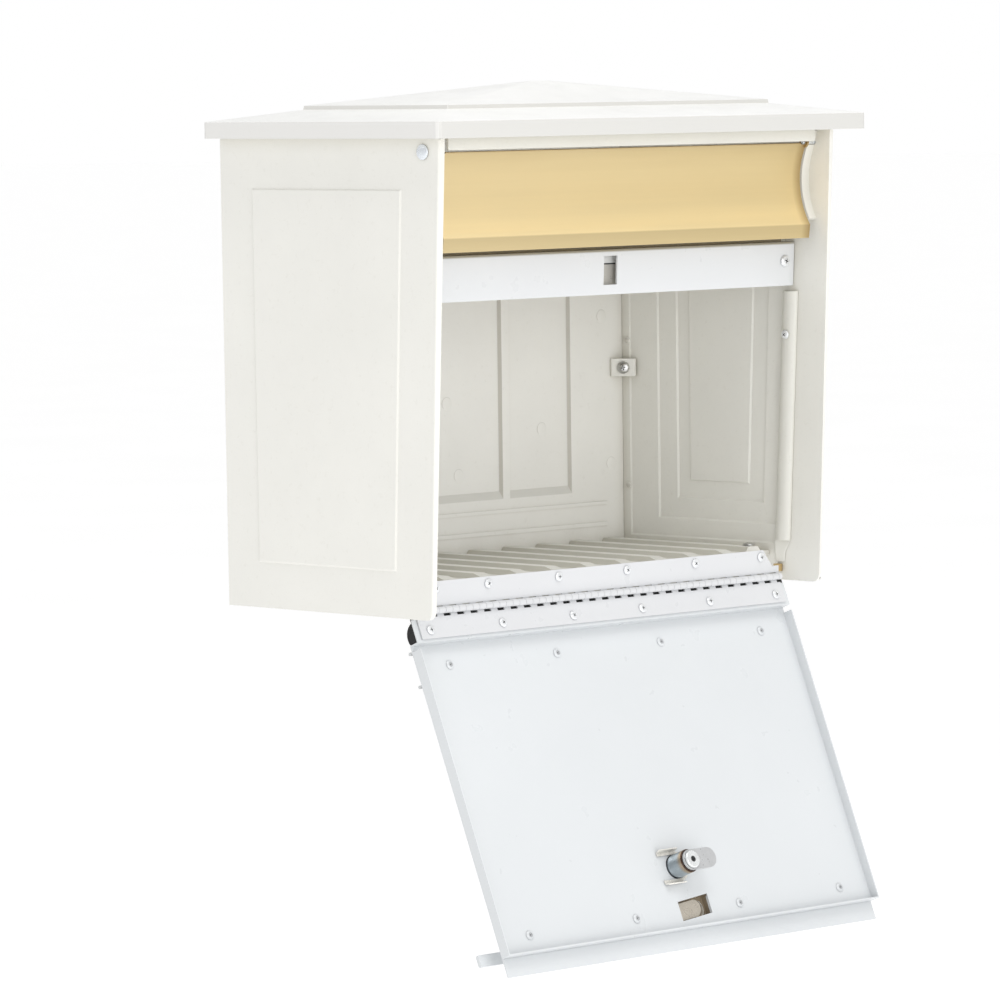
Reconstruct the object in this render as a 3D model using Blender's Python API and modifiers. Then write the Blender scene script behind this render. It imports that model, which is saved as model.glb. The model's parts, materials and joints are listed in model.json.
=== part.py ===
"""Wall mailbox with a hinged front door, a mail flap and a key lock.

The box is drawn in its own frame, in millimetres: X runs from left to right, Y from front to
back and Z up, with Z = 0 at the bottom of the side panels. The door is drawn in a frame of its
own that turns with it: Z runs along the door from the hinge to the free end and Y is the
distance from the hinge axis towards the inside of the box. The helpers turn millimetres into
metres. The world origin is the middle of the face that lies against the wall.
"""

import math

import bmesh
import bpy
from mathutils import Matrix, Vector

MM = 0.001
GAP = 0.3  # between pieces that touch

# Body
WIDTH = 388.0
DEPTH = 216.4
HEIGHT = 321.1  # to the underside of the roof
LEAN = 14.2  # how far back the front edge stands at the bottom
DRAFT = 1.9  # how far in the outer faces stand at the bottom
WALL = 5.0
OUTER = WIDTH / 2
INNER = OUTER - WALL
WALL_TOP = HEIGHT - GAP
EDGE_ROUND = 2.5
CORNER_ROUND = 6.0

# Back panel
BACK_INNER = 206.5
BACK_SKIN = 3.5
BACK_HALF = INNER - GAP
BACK_SUNK = 2.5
BACK_SUNK_X = ((-135.0, -72.0), (-65.0, 65.0), (72.0, 135.0))
BACK_SUNK_Z = (58.5, 286.0)
BACK_RAILS = ((33.0, 36.0), (48.5, 51.0))
BATTEN_HALF = 180.0
BATTEN_LEVELS = ((40.0, 80.0), (140.0, 181.0), (260.0, 300.0))
WALL_HOLE = 3.25
WALL_HOLE_X = 150.0
WALL_HOLE_LEVEL = 280.0

# Floor
FLOOR_TOP = 20.5
FLOOR_SHEET = 3.0
RIB_HEIGHT = 3.6
RIB_PITCH = 34.4
RIB_COUNT = 11
RIB_FOOT = 16.0
RIB_CROWN = 10.0
APRON_FRONT = 45.7
FLOOR_BACK = BACK_INNER - GAP
FLOOR_CLIP = 62.0
FLOOR_SCREW = (177.8, 71.5)

# Roof
EAVES_HALF = 209.6
EAVES_FRONT = -15.6
FASCIA = 11.3
TIER_HALF = 157.6
TIER_INSET = 45.0
TIER_FOOT = 340.0
TIER_HEAD = 342.8
TIER_STEP = 0.5
RIDGE = 357.8
RIDGE_HALF = 8.0
ROOF_LEDGE = 30.0
ROOF_SHEET = 2.5

# Crossbar above the door opening
BAR_HALF = 188.3
BAR_TOP = 241.4
BAR_BOTTOM = 210.5
BAR_FRONT_TOP = 34.4
BAR_FRONT_BOTTOM = 36.0
BAR_SHEET = 1.5
BAR_FLANGE_BACK = 46.0
BAR_SCREW = (178.4, 228.0)
SLOT_X = (-4.4, 8.8)
SLOT_Z = (217.2, 237.1)
STRIKE_X = (-13.4, 17.8)
STRIKE_Y = 41.8
STRIKE_Z = (216.5, 239.5)
STRIKE_SLIT = (231.0, 231.9)

# Flap
FLAP_HALF = 180.0
FLAP_TOP = (14.4, 311.2)
FLAP_MIDDLE = (20.8, 281.0)
FLAP_CREASE = (11.4, 254.0)
FLAP_LIP = (12.6, 244.6)
FLAP_SHEET = 1.2
PIVOT = (15.8, 312.0)
EAR_RADIUS = 4.0
EAR_SHEET = 1.6
PIN_RADIUS = 1.6
PIN_HEAD = 5.25
PIN_REACH = 17.0
GUARD_X = 182.1
GUARD_SHEET = 3.0
GUARD_BOTTOM = 257.0
HEADER_HALF = 180.0
HEADER_BOTTOM = 312.8
HEADER_FRONT = 6.0
HEADER_BACK = 26.0
HEADER_SHEET = 1.2

# Jamb rails, the beads on the side walls that the door rims close in front of
JAMB_HEAD = (38.2, 206.4)
JAMB_FOOT = (47.8, 28.5)
JAMB_HALF = 6.8
JAMB_X = (184.2, INNER - GAP)
JAMB_BELL = ((25.0, 2.2, 1.02), (20.5, 3.9, 0.70), (13.0, 2.9, 0.54))
JAMB_SCREW_Z = 175.5

# Hinge
HINGE_Y = 43.0
HINGE_Z = 3.5
KNUCKLE = 6.35
KNUCKLE_COUNT = 57
CURL_RADIUS = 1.9
LEAF_SHEET = 1.0
LEAF_HALF = 179.5
LEAF_TOP = 23.0
LOWER_LEAF = 18.7
CURL_SWEEP = math.radians(285)
CURL_PARTS = 8
UPPER_COMB = 2.9
LOWER_COMB = 3.9
HINGE_PIN = 1.1
LEAF_CLIP = ((163.4, 23.2), (172.7, 11.1))
UPPER_SCREWS_X = (-160.6, -110.9, -43.0, 24.3, 93.0, 160.6)
UPPER_SCREW_Z = 18.2
LOWER_SCREWS_X = tuple(68.2 * (index - 2.5) for index in range(6))
LOWER_SCREW_S = 12.9
OPEN_ANGLE = math.radians(157.5)

# Door
PAN_HALF = 183.6
PAN_START = 19.8
PAN_END = 240.0
PAN_SHEET = 1.0
PAN_OUTSIDE = -11.1
PAN_RIM = -2.2
PAN_RIM_END = -3.5
FLANGE_START = 4.3
FLANGE_FACE = -2.7
SIDE_GAP = 3.8
RAIL_HALF = 182.5
RAIL_FACE = PAN_OUTSIDE - GAP
RAIL_SHEET = 1.0
LOWER_RAIL = (20.0, 52.5)
LOWER_RAIL_LEGS = (24.6, 48.0)
UPPER_RAIL = (218.6, 253.2)
RAIL_LEG = 3.6
RAIL_BEAD = 1.2
RIVETS_X = (-153.7, -51.2, 51.2, 153.7)
RIVETS_S = (36.0, 227.2)
PULL_HALF = 186.5
PULL_S = (231.5, 240.0)
PULL_T = (-32.0, -29.0)
POST_X = 122.0
POST_HALF = 4.0
BUMPER_HALF = 183.0
BUMPER_S = (2.7, 6.0, 12.5, 19.3)
BUMPER_T = (-4.0, -4.8, -11.8, -11.4)

# Lock
LOCK_S = 195.6
LOCK_RADIUS = 8.3
LOCK_END = 5.0
PLUG_RADIUS = 5.5
CAM_T = (5.3, 6.9)
CAM_REACH = 24.0
CAM_HALF = 7.25
CAM_SQUARE = 2.5
CAM_SCREW_RADIUS = 6.2
CAM_SCREW_TOP = 8.8
CLIP_HALF = 11.6
CLIP_X = (-15.2, 2.5)
CLIP_T = -9.3
CLIP_RING = 10.9

# Latch behind the window near the free end of the door
WINDOW_X = (-7.7, 22.5)
WINDOW_S = (218.6, 232.4)
LATCH_SLANT = 0.096
HOUSING_X = (-12.0, 27.0)
HOUSING_S = (215.0, 236.5)
HOUSING_T = (-21.0, RAIL_FACE - RAIL_SHEET - GAP)
HOUSING_WALL = 1.8
TONGUE_X = (-7.0, 17.0)
TONGUE_S = 225.65
TONGUE_HALF = 6.25
TONGUE_T = (-16.1, -14.1)
SPRING_X = 18.6
SPRING_BOW = 2.6
SPRING_T = (-18.9, -16.5)

ROUND_STEPS = 24
SMALL_STEPS = 10


# ---------------------------------------------------------------- scene and materials

for old in list(bpy.data.objects):
    bpy.data.objects.remove(old, do_unlink=True)

PARTS = bpy.data.collections.new("mailbox")
CUTTERS = bpy.data.collections.new("mailbox_cutters")
for group in (PARTS, CUTTERS):
    bpy.context.scene.collection.children.link(group)


def linear(level):
    """One channel of a screen colour, 0 to 255, as the linear value a shader takes."""
    share = level / 255
    return share / 12.92 if share <= 0.04045 else ((share + 0.055) / 1.055) ** 2.4


def paint(name, colour, roughness, metallic=0.0):
    material = bpy.data.materials.new(name)
    material.use_nodes = True
    shader = material.node_tree.nodes["Principled BSDF"]
    shader.inputs["Base Color"].default_value = [linear(level) for level in colour] + [1.0]
    shader.inputs["Roughness"].default_value = roughness
    shader.inputs["Metallic"].default_value = metallic
    return material


BODY_PAINT = paint("body_plastic", (236, 236, 231), 0.42)
ROOF_PAINT = paint("roof_plastic", (248, 248, 243), 0.4)
DOOR_PAINT = paint("door_steel", (235, 239, 243), 0.35)
BRASS = paint("flap_brass", (232, 205, 138), 0.3, 1.0)
NICKEL = paint("nickel", (188, 186, 180), 0.3, 1.0)
ZINC = paint("zinc", (140, 148, 158), 0.4, 1.0)
RUBBER = paint("rubber", (22, 22, 22), 0.8)
DARK = paint("latch_dark", (60, 54, 48), 0.6)


# ---------------------------------------------------------------- helpers


def empty(name, at, parent=None):
    axis = bpy.data.objects.new(name, None)
    PARTS.objects.link(axis)
    axis.location = Vector(at) * MM
    axis.parent = parent
    return axis


def add(name, mesh, material, parent, at=(0, 0, 0), turn=(0, 0, 0)):
    """Put a mesh in the scene as one piece of the mailbox."""
    piece = bpy.data.objects.new(name, mesh)
    PARTS.objects.link(piece)
    piece.parent = parent
    piece.location = Vector(at) * MM
    piece.rotation_euler = turn
    mesh.materials.append(material)
    return piece


def mesh_of(name, shape):
    """A bmesh drawn in millimetres as a mesh in metres, with its normals facing out."""
    bmesh.ops.recalc_face_normals(shape, faces=shape.faces)
    bmesh.ops.scale(shape, vec=(MM, MM, MM), verts=shape.verts)
    mesh = bpy.data.meshes.new(name)
    shape.to_mesh(mesh)
    shape.free()
    return mesh


def smooth(piece, degrees=35):
    piece.data.shade_smooth()
    piece.data.set_sharp_from_angle(angle=math.radians(degrees))


def boolean(piece, operation, shape):
    """Cut a bmesh from a piece, or join it on, with a Boolean modifier."""
    name = f"{piece.name}_{operation.lower()}_{len(piece.modifiers)}"
    tool = bpy.data.objects.new(name, mesh_of(name, shape))
    CUTTERS.objects.link(tool)
    tool.parent = piece.parent
    tool.hide_render = True
    tool.display_type = "WIRE"
    modifier = piece.modifiers.new(name, "BOOLEAN")
    modifier.operation = operation
    modifier.solver = "EXACT"
    modifier.object = tool


def box(low, high):
    shape = bmesh.new()
    bmesh.ops.create_cube(shape, size=1.0)
    for vert in shape.verts:
        vert.co = [a + (b - a) * (c + 0.5) for a, b, c in zip(low, high, vert.co)]
    return shape


def boxes(corners):
    """Several separate boxes in one bmesh."""
    shape = bmesh.new()
    for low, high in corners:
        verts = bmesh.ops.create_cube(shape, size=1.0)["verts"]
        for vert in verts:
            vert.co = [a + (b - a) * (c + 0.5) for a, b, c in zip(low, high, vert.co)]
    return shape


def rods(ends, radius, sides=SMALL_STEPS):
    """Straight round rods between pairs of points, in one bmesh."""
    shape = bmesh.new()
    for start, end in ends:
        start, end = Vector(start), Vector(end)
        turn = (end - start).to_track_quat("Z", "Y").to_matrix().to_4x4()
        bmesh.ops.create_cone(
            shape,
            cap_ends=True,
            segments=sides,
            radius1=radius,
            radius2=radius,
            depth=(end - start).length,
            matrix=Matrix.Translation((start + end) / 2) @ turn,
        )
    return shape


def draw_face(shape, face, low, high):
    """Extrude a four-cornered face to the corners low..high and give back the new face."""
    middle = face.calc_center_median()
    face = bmesh.ops.extrude_discrete_faces(shape, faces=[face])["faces"][0]
    for vert in face.verts:
        vert.co = [b if old > mid else a for a, b, old, mid in zip(low, high, vert.co, middle)]
    return face


def face_towards(shape, direction):
    return max(shape.faces, key=lambda face: face.normal.dot(Vector(direction)))


def arc(centre, radius, start, end, parts):
    """Points along an arc, angles in radians, both ends included."""
    angles = [start + (end - start) * step / parts for step in range(parts + 1)]
    return [(centre[0] + radius * math.cos(a), centre[1] + radius * math.sin(a)) for a in angles]


def arc_through(first, middle, last, parts):
    """Points along the arc that runs through three points."""
    (ax, ay), (bx, by), (cx, cy) = first, middle, last
    twice = 2 * (ax * (by - cy) + bx * (cy - ay) + cx * (ay - by))
    a2, b2, c2 = ax * ax + ay * ay, bx * bx + by * by, cx * cx + cy * cy
    x = (a2 * (by - cy) + b2 * (cy - ay) + c2 * (ay - by)) / twice
    y = (a2 * (cx - bx) + b2 * (ax - cx) + c2 * (bx - ax)) / twice
    start = math.atan2(ay - y, ax - x)
    to_middle = (math.atan2(by - y, bx - x) - start) % math.tau
    sweep = (math.atan2(cy - y, cx - x) - start) % math.tau
    if to_middle > sweep:
        sweep -= math.tau
    return arc((x, y), math.hypot(ax - x, ay - y), start, start + sweep, parts)


def offset(path, distance):
    """A path moved sideways, to the left of its direction, with mitred corners."""
    points = [Vector(point) for point in path]
    moved = []
    for index, point in enumerate(points):
        before = (point - points[index - 1]).normalized() if index else None
        after = (points[index + 1] - point).normalized() if index < len(points) - 1 else None
        before = before or after
        after = after or before
        left = Vector((-before.y - after.y, before.x + after.x)).normalized()
        mitre = distance / left.dot(Vector((-before.y, before.x)))
        moved.append(tuple(point + left * mitre))
    return moved


def band(path, thickness, shift=0.0):
    """The closed outline of a sheet seen edge on, thickness wide about a path."""
    return offset(path, shift + thickness / 2) + offset(path, shift - thickness / 2)[::-1]


def plate_mesh(name, outlines, thickness):
    """A flat outline, with any holes, filled and extruded: a mesh about Z = 0, in metres."""
    curve = bpy.data.curves.new(name, "CURVE")
    curve.dimensions = "2D"
    curve.fill_mode = "BOTH"
    curve.extrude = thickness / 2 * MM
    for outline in outlines:
        spline = curve.splines.new("POLY")
        spline.points.add(len(outline) - 1)
        spline.use_cyclic_u = True
        for point, place in zip(spline.points, outline):
            point.co = (place[0] * MM, place[1] * MM, 0, 1)
    drawn = bpy.data.objects.new(name, curve)
    CUTTERS.objects.link(drawn)
    bpy.context.view_layer.update()
    graph = bpy.context.evaluated_depsgraph_get()
    mesh = bpy.data.meshes.new_from_object(drawn.evaluated_get(graph))
    bpy.data.objects.remove(drawn)
    shape = bmesh.new()
    shape.from_mesh(mesh)
    bmesh.ops.remove_doubles(shape, verts=shape.verts, dist=0.00001)
    bmesh.ops.recalc_face_normals(shape, faces=shape.faces)
    shape.to_mesh(mesh)
    shape.free()
    mesh.name = name
    return mesh


SIDEWAYS = Matrix(((0, 0, 1, 0), (1, 0, 0, 0), (0, 1, 0, 0), (0, 0, 0, 1)))
UPRIGHT = Matrix(((1, 0, 0, 0), (0, 0, -1, 0), (0, 1, 0, 0), (0, 0, 0, 1)))


def upright_mesh(name, outlines, low, high):
    """Outlines in the X-Z plane extruded along Y from low to high."""
    mesh = plate_mesh(name, outlines, high - low)
    mesh.transform(Matrix.Translation((0, (low + high) / 2 * MM, 0)) @ UPRIGHT)
    return mesh


def prism_mesh(name, outline, low, high):
    """An outline in the Y-Z plane extruded along X from low to high."""
    mesh = plate_mesh(name, [outline], high - low)
    mesh.transform(Matrix.Translation(((low + high) / 2 * MM, 0, 0)) @ SIDEWAYS)
    return mesh


def shape_of(mesh):
    """A mesh in metres as a bmesh in millimetres, and the mesh is let go."""
    shape = bmesh.new()
    shape.from_mesh(mesh)
    bmesh.ops.scale(shape, vec=(1 / MM, 1 / MM, 1 / MM), verts=shape.verts)
    bpy.data.meshes.remove(mesh)
    return shape


def turned(name, profile, material, parent, at, turn, steps=ROUND_STEPS, loop=False):
    """A turned piece: (radius, height) points from the top down, spun about Z."""
    mesh = bpy.data.meshes.new(name)
    edges = [(index, index + 1) for index in range(len(profile) - 1)]
    if loop:
        edges.append((len(profile) - 1, 0))
    mesh.from_pydata([(radius * MM, 0, z * MM) for radius, z in profile], edges, [])
    piece = add(name, mesh, material, parent, at, turn)
    screw = piece.modifiers.new("turn", "SCREW")
    screw.axis = "Z"
    screw.steps = steps
    screw.render_steps = steps
    screw.use_merge_vertices = True
    screw.merge_threshold = 0.00001
    screw.use_smooth_shade = True
    return piece


def pan_head(radius, height, shank, length):
    """The profile of a pan-head screw: its seat at zero, its shank below."""
    return [
        (0, height),
        (radius * 0.62, height * 0.93),
        (radius * 0.93, height * 0.55),
        (radius, 0),
        (shank, 0),
        (shank, -length),
        (0, -length),
    ]


FACE_FRONT = (math.pi / 2, 0, 0)
FACE_BACK = (-math.pi / 2, 0, 0)
FACE_UP = (0, 0, 0)


def facing_out(side):
    """The turn that points a turned piece's top away from the middle of the box."""
    return (0, side * math.pi / 2, 0)


def facing_in(side):
    return (0, -side * math.pi / 2, 0)


def side_name(side):
    return "right" if side > 0 else "left"


def mirrored(shape, side):
    """A shape drawn for the right-hand side, flipped over for the left."""
    if side < 0:
        bmesh.ops.scale(shape, vec=(-1, 1, 1), verts=shape.verts)
        bmesh.ops.reverse_faces(shape, faces=shape.faces)
    return shape


def lean_at(z):
    """How far back the leaning front stands at a height."""
    return LEAN * (1 - z / HEIGHT)


# ---------------------------------------------------------------- body


def relief(shape, direction, x, steps, chamfer):
    """Sunk or raised rectangles one inside the next: (front, back, bottom, top, rise)."""
    face = face_towards(shape, direction)
    for front, back, bottom, top, rise in steps:
        face = draw_face(shape, face, (x, front, bottom), (x, back, top))
        x += rise
        low = (x, front + chamfer, bottom + chamfer)
        high = (x, back - chamfer, top - chamfer)
        face = draw_face(shape, face, low, high)


def side_panel(side, root):
    """A moulded side wall with its flap guard and the boss that the crossbar is screwed to."""
    wall = box((INNER, 0, 0), (OUTER, DEPTH, WALL_TOP))
    relief(wall, (1, 0, 0), OUTER, [(35.5, 184.5, 31.4, 287.2, 0.9)], 1.2)
    sunk = [
        (40.6, 199.5, 25.5, 300.0, 0.8),
        (42.0, 172.0, 39.0, 280.0, 1.2),
        (57.0, 154.0, 54.0, 265.0, 1.2),
        (72.0, 142.0, 67.0, 252.0, -1.0),
    ]
    relief(wall, (-1, 0, 0), INNER, sunk, 1.2)
    for vert in wall.verts:
        if vert.co.y < DEPTH / 2:
            vert.co.y += lean_at(vert.co.z)
        if vert.co.x > OUTER - WALL / 4:
            vert.co.x -= DRAFT * (1 - vert.co.z / HEIGHT)
    corner = [
        edge
        for edge in wall.edges
        if all(v.co.z < 1 and v.co.y < DEPTH / 2 for v in edge.verts)
    ]
    bmesh.ops.bevel(
        wall, geom=corner, offset=CORNER_ROUND, segments=3, profile=0.5, affect="EDGES"
    )
    outer_front = [
        edge
        for edge in wall.edges
        if all(v.co.x > OUTER - WALL / 2 for v in edge.verts)
        and all(v.co.y < lean_at(v.co.z) + CORNER_ROUND * 1.5 for v in edge.verts)
        and any(v.co.y < lean_at(v.co.z) + 0.01 for v in edge.verts)
    ]
    bmesh.ops.bevel(
        wall, geom=outer_front, offset=EDGE_ROUND, segments=3, profile=0.5, affect="EDGES"
    )
    name = f"side_panel_{side_name(side)}"
    panel = add(name, mesh_of(name, mirrored(wall, side)), BODY_PAINT, root)
    guard_path = arc_through(FLAP_TOP, FLAP_MIDDLE, FLAP_CREASE, 12)
    guard_path = [point for point in guard_path if GUARD_BOTTOM < point[1] < FLAP_TOP[1] - 2]
    guard_path.insert(0, (FLAP_TOP[0] - 2.0, WALL_TOP - 0.8))
    guard = prism_mesh(
        "guard", band(guard_path, GUARD_SHEET, GUARD_SHEET / 2), GUARD_X, INNER + 1
    )
    boolean(panel, "UNION", mirrored(shape_of(guard), side))
    boss = box(
        (BAR_SCREW[0] - 7.4, 38.9, BAR_SCREW[1] - 8), (INNER + 3, 52.0, BAR_SCREW[1] + 8)
    )
    boolean(panel, "UNION", mirrored(boss, side))
    x, z = BAR_SCREW
    hole = rods([((x, 36.0, z), (x, 50.0, z))], PIN_RADIUS + GAP)
    boolean(panel, "DIFFERENCE", mirrored(hole, side))
    pivot_hole = rods([((GUARD_X - 1, *PIVOT), (OUTER + 2, *PIVOT))], PIN_RADIUS + GAP)
    boolean(panel, "DIFFERENCE", mirrored(pivot_hole, side))
    place = (jamb_y(JAMB_SCREW_Z), JAMB_SCREW_Z)
    jamb_hole = rods([((INNER - 2, *place), (INNER + 3.4, *place))], PIN_RADIUS + GAP)
    boolean(panel, "DIFFERENCE", mirrored(jamb_hole, side))


def sunk_field(low_x, high_x, low_z, high_z):
    """The shape that sinks a field with sloping edges into the inner face of the back."""
    shape = box((low_x, BACK_INNER, low_z), (high_x, BACK_INNER + BACK_SUNK, high_z))
    for vert in shape.verts:
        share = 1.0 if vert.co.y > BACK_INNER + 0.1 else -0.4
        if share < 0:
            vert.co.y = BACK_INNER - 0.4 * BACK_SUNK
        vert.co.x += share * (1.8 if vert.co.x < (low_x + high_x) / 2 else -1.8)
        vert.co.z += share * (5.6 if vert.co.z < (low_z + high_z) / 2 else -5.6)
    return shape


def back_panel(root):
    """The back skin, with sunk fields inside and the battens that lie against the wall."""
    skin = box((-BACK_HALF, BACK_INNER, 0), (BACK_HALF, BACK_INNER + BACK_SKIN, WALL_TOP))
    panel = add("back_panel", mesh_of("back_panel", skin), BODY_PAINT, root)
    back_face = BACK_INNER + BACK_SKIN - 0.5
    battens = [
        ((-BATTEN_HALF, back_face, low), (BATTEN_HALF, DEPTH, high))
        for low, high in BATTEN_LEVELS
    ]
    boolean(panel, "UNION", boxes(battens))
    for low, high in BACK_SUNK_X:
        boolean(panel, "DIFFERENCE", sunk_field(low, high, *BACK_SUNK_Z))
    rails = [
        ((-171.0, BACK_INNER - 1.0, low), (171.0, BACK_INNER + 1, high))
        for low, high in BACK_RAILS
    ]
    boolean(panel, "UNION", boxes(rails))
    holes = [
        ((x, BACK_INNER - 3, WALL_HOLE_LEVEL), (x, DEPTH + 2, WALL_HOLE_LEVEL))
        for x in (-WALL_HOLE_X, WALL_HOLE_X)
    ]
    boolean(panel, "DIFFERENCE", rods(holes, WALL_HOLE, 12))


def floor_tray(root):
    """The ribbed floor and the apron in front that carries the hinge."""
    half = BACK_HALF
    top = []
    for index in range(RIB_COUNT):
        middle = (index - (RIB_COUNT - 1) / 2) * RIB_PITCH
        top.append((middle - RIB_FOOT / 2, FLOOR_TOP))
        top.append((middle - RIB_CROWN / 2, FLOOR_TOP + RIB_HEIGHT))
        top.append((middle + RIB_CROWN / 2, FLOOR_TOP + RIB_HEIGHT))
        top.append((middle + RIB_FOOT / 2, FLOOR_TOP))
    under = FLOOR_TOP - FLOOR_SHEET
    outline = [(half, under), (half, FLOOR_TOP)] + top[::-1]
    outline += [(-half, FLOOR_TOP), (-half, under)]
    mesh = upright_mesh("floor_tray", [outline], APRON_FRONT, FLOOR_BACK)
    tray = add("floor_tray", mesh, BODY_PAINT, root)
    apron = box((-half, APRON_FRONT, 0), (half, APRON_FRONT + FLOOR_SHEET, FLOOR_TOP - 0.5))
    boolean(tray, "UNION", apron)
    (near_x, near_z), (far_x, far_z) = LEAF_CLIP
    for side in (-1, 1):
        outline = [
            (side * (near_x - 1.2), FLOOR_TOP + 9),
            (side * (near_x - 1.2), near_z),
            (side * (far_x - 1.2), far_z - 1),
            (side * (LEAF_HALF - 1), far_z - 1),
            (side * (LEAF_HALF - 1), -1),
            (side * (half + 1), -1),
            (side * (half + 1), FLOOR_TOP + 9),
        ]
        corner = upright_mesh("corner", [outline], APRON_FRONT - 1, FLOOR_CLIP)
        boolean(tray, "DIFFERENCE", shape_of(corner))
    holes = [
        ((x, APRON_FRONT - 1, UPPER_SCREW_Z), (x, APRON_FRONT + 5, UPPER_SCREW_Z))
        for x in UPPER_SCREWS_X
    ]
    boolean(tray, "DIFFERENCE", rods(holes, PIN_RADIUS + GAP))
    x, y = FLOOR_SCREW
    floor_holes = [((s * x, y, 10), (s * x, y, 30)) for s in (-1, 1)]
    boolean(tray, "DIFFERENCE", rods(floor_holes, PIN_RADIUS + GAP))


def roof_cap(root):
    """A hipped cap in two tiers with a fascia all round, open below."""
    low = (-EAVES_HALF, EAVES_FRONT, HEIGHT)
    high = (EAVES_HALF, DEPTH, HEIGHT + FASCIA)
    cap = box(low, high)
    face = face_towards(cap, (0, 0, 1))
    front, back = EAVES_FRONT + TIER_INSET, DEPTH - TIER_INSET
    middle = (EAVES_FRONT + DEPTH) / 2
    face = draw_face(cap, face, (-TIER_HALF, front, TIER_FOOT), (TIER_HALF, back, TIER_FOOT))
    step = TIER_STEP
    face = draw_face(
        cap,
        face,
        (step - TIER_HALF, front + step, TIER_HEAD),
        (TIER_HALF - step, back - step, TIER_HEAD),
    )
    draw_face(cap, face, (-RIDGE_HALF, middle - 1, RIDGE), (RIDGE_HALF, middle + 1, RIDGE))
    face = face_towards(cap, (0, 0, -1))
    ledge = ROOF_LEDGE
    opening = draw_face(
        cap,
        face,
        (ledge - EAVES_HALF, EAVES_FRONT + ledge, HEIGHT),
        (EAVES_HALF - ledge, DEPTH - ledge, HEIGHT),
    )
    bmesh.ops.delete(cap, geom=[opening], context="FACES")
    corners = [
        edge
        for edge in cap.edges
        if abs(edge.verts[0].co.z - edge.verts[1].co.z) > FASCIA - 1
        and all(abs(vert.co.x) > EAVES_HALF - 1 for vert in edge.verts)
    ]
    bmesh.ops.bevel(cap, geom=corners, offset=3.0, segments=2, profile=0.5, affect="EDGES")
    roof = add("roof_cap", mesh_of("roof_cap", cap), ROOF_PAINT, root)
    shell = roof.modifiers.new("sheet", "SOLIDIFY")
    shell.thickness = ROOF_SHEET * MM
    shell.offset = -1
    shell.use_even_offset = True


def header_rail(root):
    """The folded strip above the flap."""
    half = HEADER_SHEET / 2
    path = [
        (HEADER_FRONT + half, HEADER_BOTTOM),
        (HEADER_FRONT + half, WALL_TOP - half),
        (HEADER_BACK, WALL_TOP - half),
    ]
    mesh = prism_mesh("header_rail", band(path, HEADER_SHEET), -HEADER_HALF, HEADER_HALF)
    add("header_rail", mesh, BODY_PAINT, root)


def crossbar_front(z):
    """Where the leaning front face of the crossbar stands at a height."""
    share = (BAR_TOP - z) / (BAR_TOP - BAR_BOTTOM)
    return BAR_FRONT_TOP + (BAR_FRONT_BOTTOM - BAR_FRONT_TOP) * share


def crossbar(root):
    """The folded bar across the box that the lock's cam catches behind."""
    half = BAR_SHEET / 2
    path = [
        (BAR_FRONT_BOTTOM + half, BAR_BOTTOM),
        (BAR_FRONT_TOP + half, BAR_TOP - half),
        (BAR_FLANGE_BACK, BAR_TOP - half),
    ]
    mesh = prism_mesh("crossbar", band(path, BAR_SHEET), -BAR_HALF, BAR_HALF)
    bar = add("crossbar", mesh, DOOR_PAINT, root)
    slot = box((SLOT_X[0], 30, SLOT_Z[0]), (SLOT_X[1], 40, SLOT_Z[1]))
    boolean(bar, "DIFFERENCE", slot)
    x, z = BAR_SCREW
    holes = [((s * x, 30, z), (s * x, 40, z)) for s in (-1, 1)]
    boolean(bar, "DIFFERENCE", rods(holes, PIN_RADIUS + GAP))
    for side in (-1, 1):
        turned(
            f"crossbar_screw_{side_name(side)}",
            pan_head(4.2, 2.2, PIN_RADIUS, 12.0),
            NICKEL,
            root,
            (side * x, crossbar_front(z) - GAP, z),
            FACE_FRONT,
            SMALL_STEPS,
        )


def strike_plate(root):
    """The keeper behind the slot of the crossbar, with a slit across it."""
    path = [
        (STRIKE_X[0], STRIKE_Y - 4.2),
        (STRIKE_X[0], STRIKE_Y),
        (STRIKE_X[1], STRIKE_Y),
        (STRIKE_X[1], STRIKE_Y - 4.2),
    ]
    low, high = STRIKE_Z
    mesh = plate_mesh("strike_plate", [band(path, 1.2)], high - low)
    mesh.transform(Matrix.Translation((0, 0, (low + high) / 2 * MM)))
    plate = add("strike_plate", mesh, NICKEL, root)
    slit = box((-9.0, STRIKE_Y - 2, STRIKE_SLIT[0]), (13.4, STRIKE_Y + 2, STRIKE_SLIT[1]))
    boolean(plate, "DIFFERENCE", slit)


def jamb_y(z):
    """The middle of a jamb rail at a height."""
    share = (JAMB_HEAD[1] - z) / (JAMB_HEAD[1] - JAMB_FOOT[1])
    return JAMB_HEAD[0] + (JAMB_FOOT[0] - JAMB_HEAD[0]) * share


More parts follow.
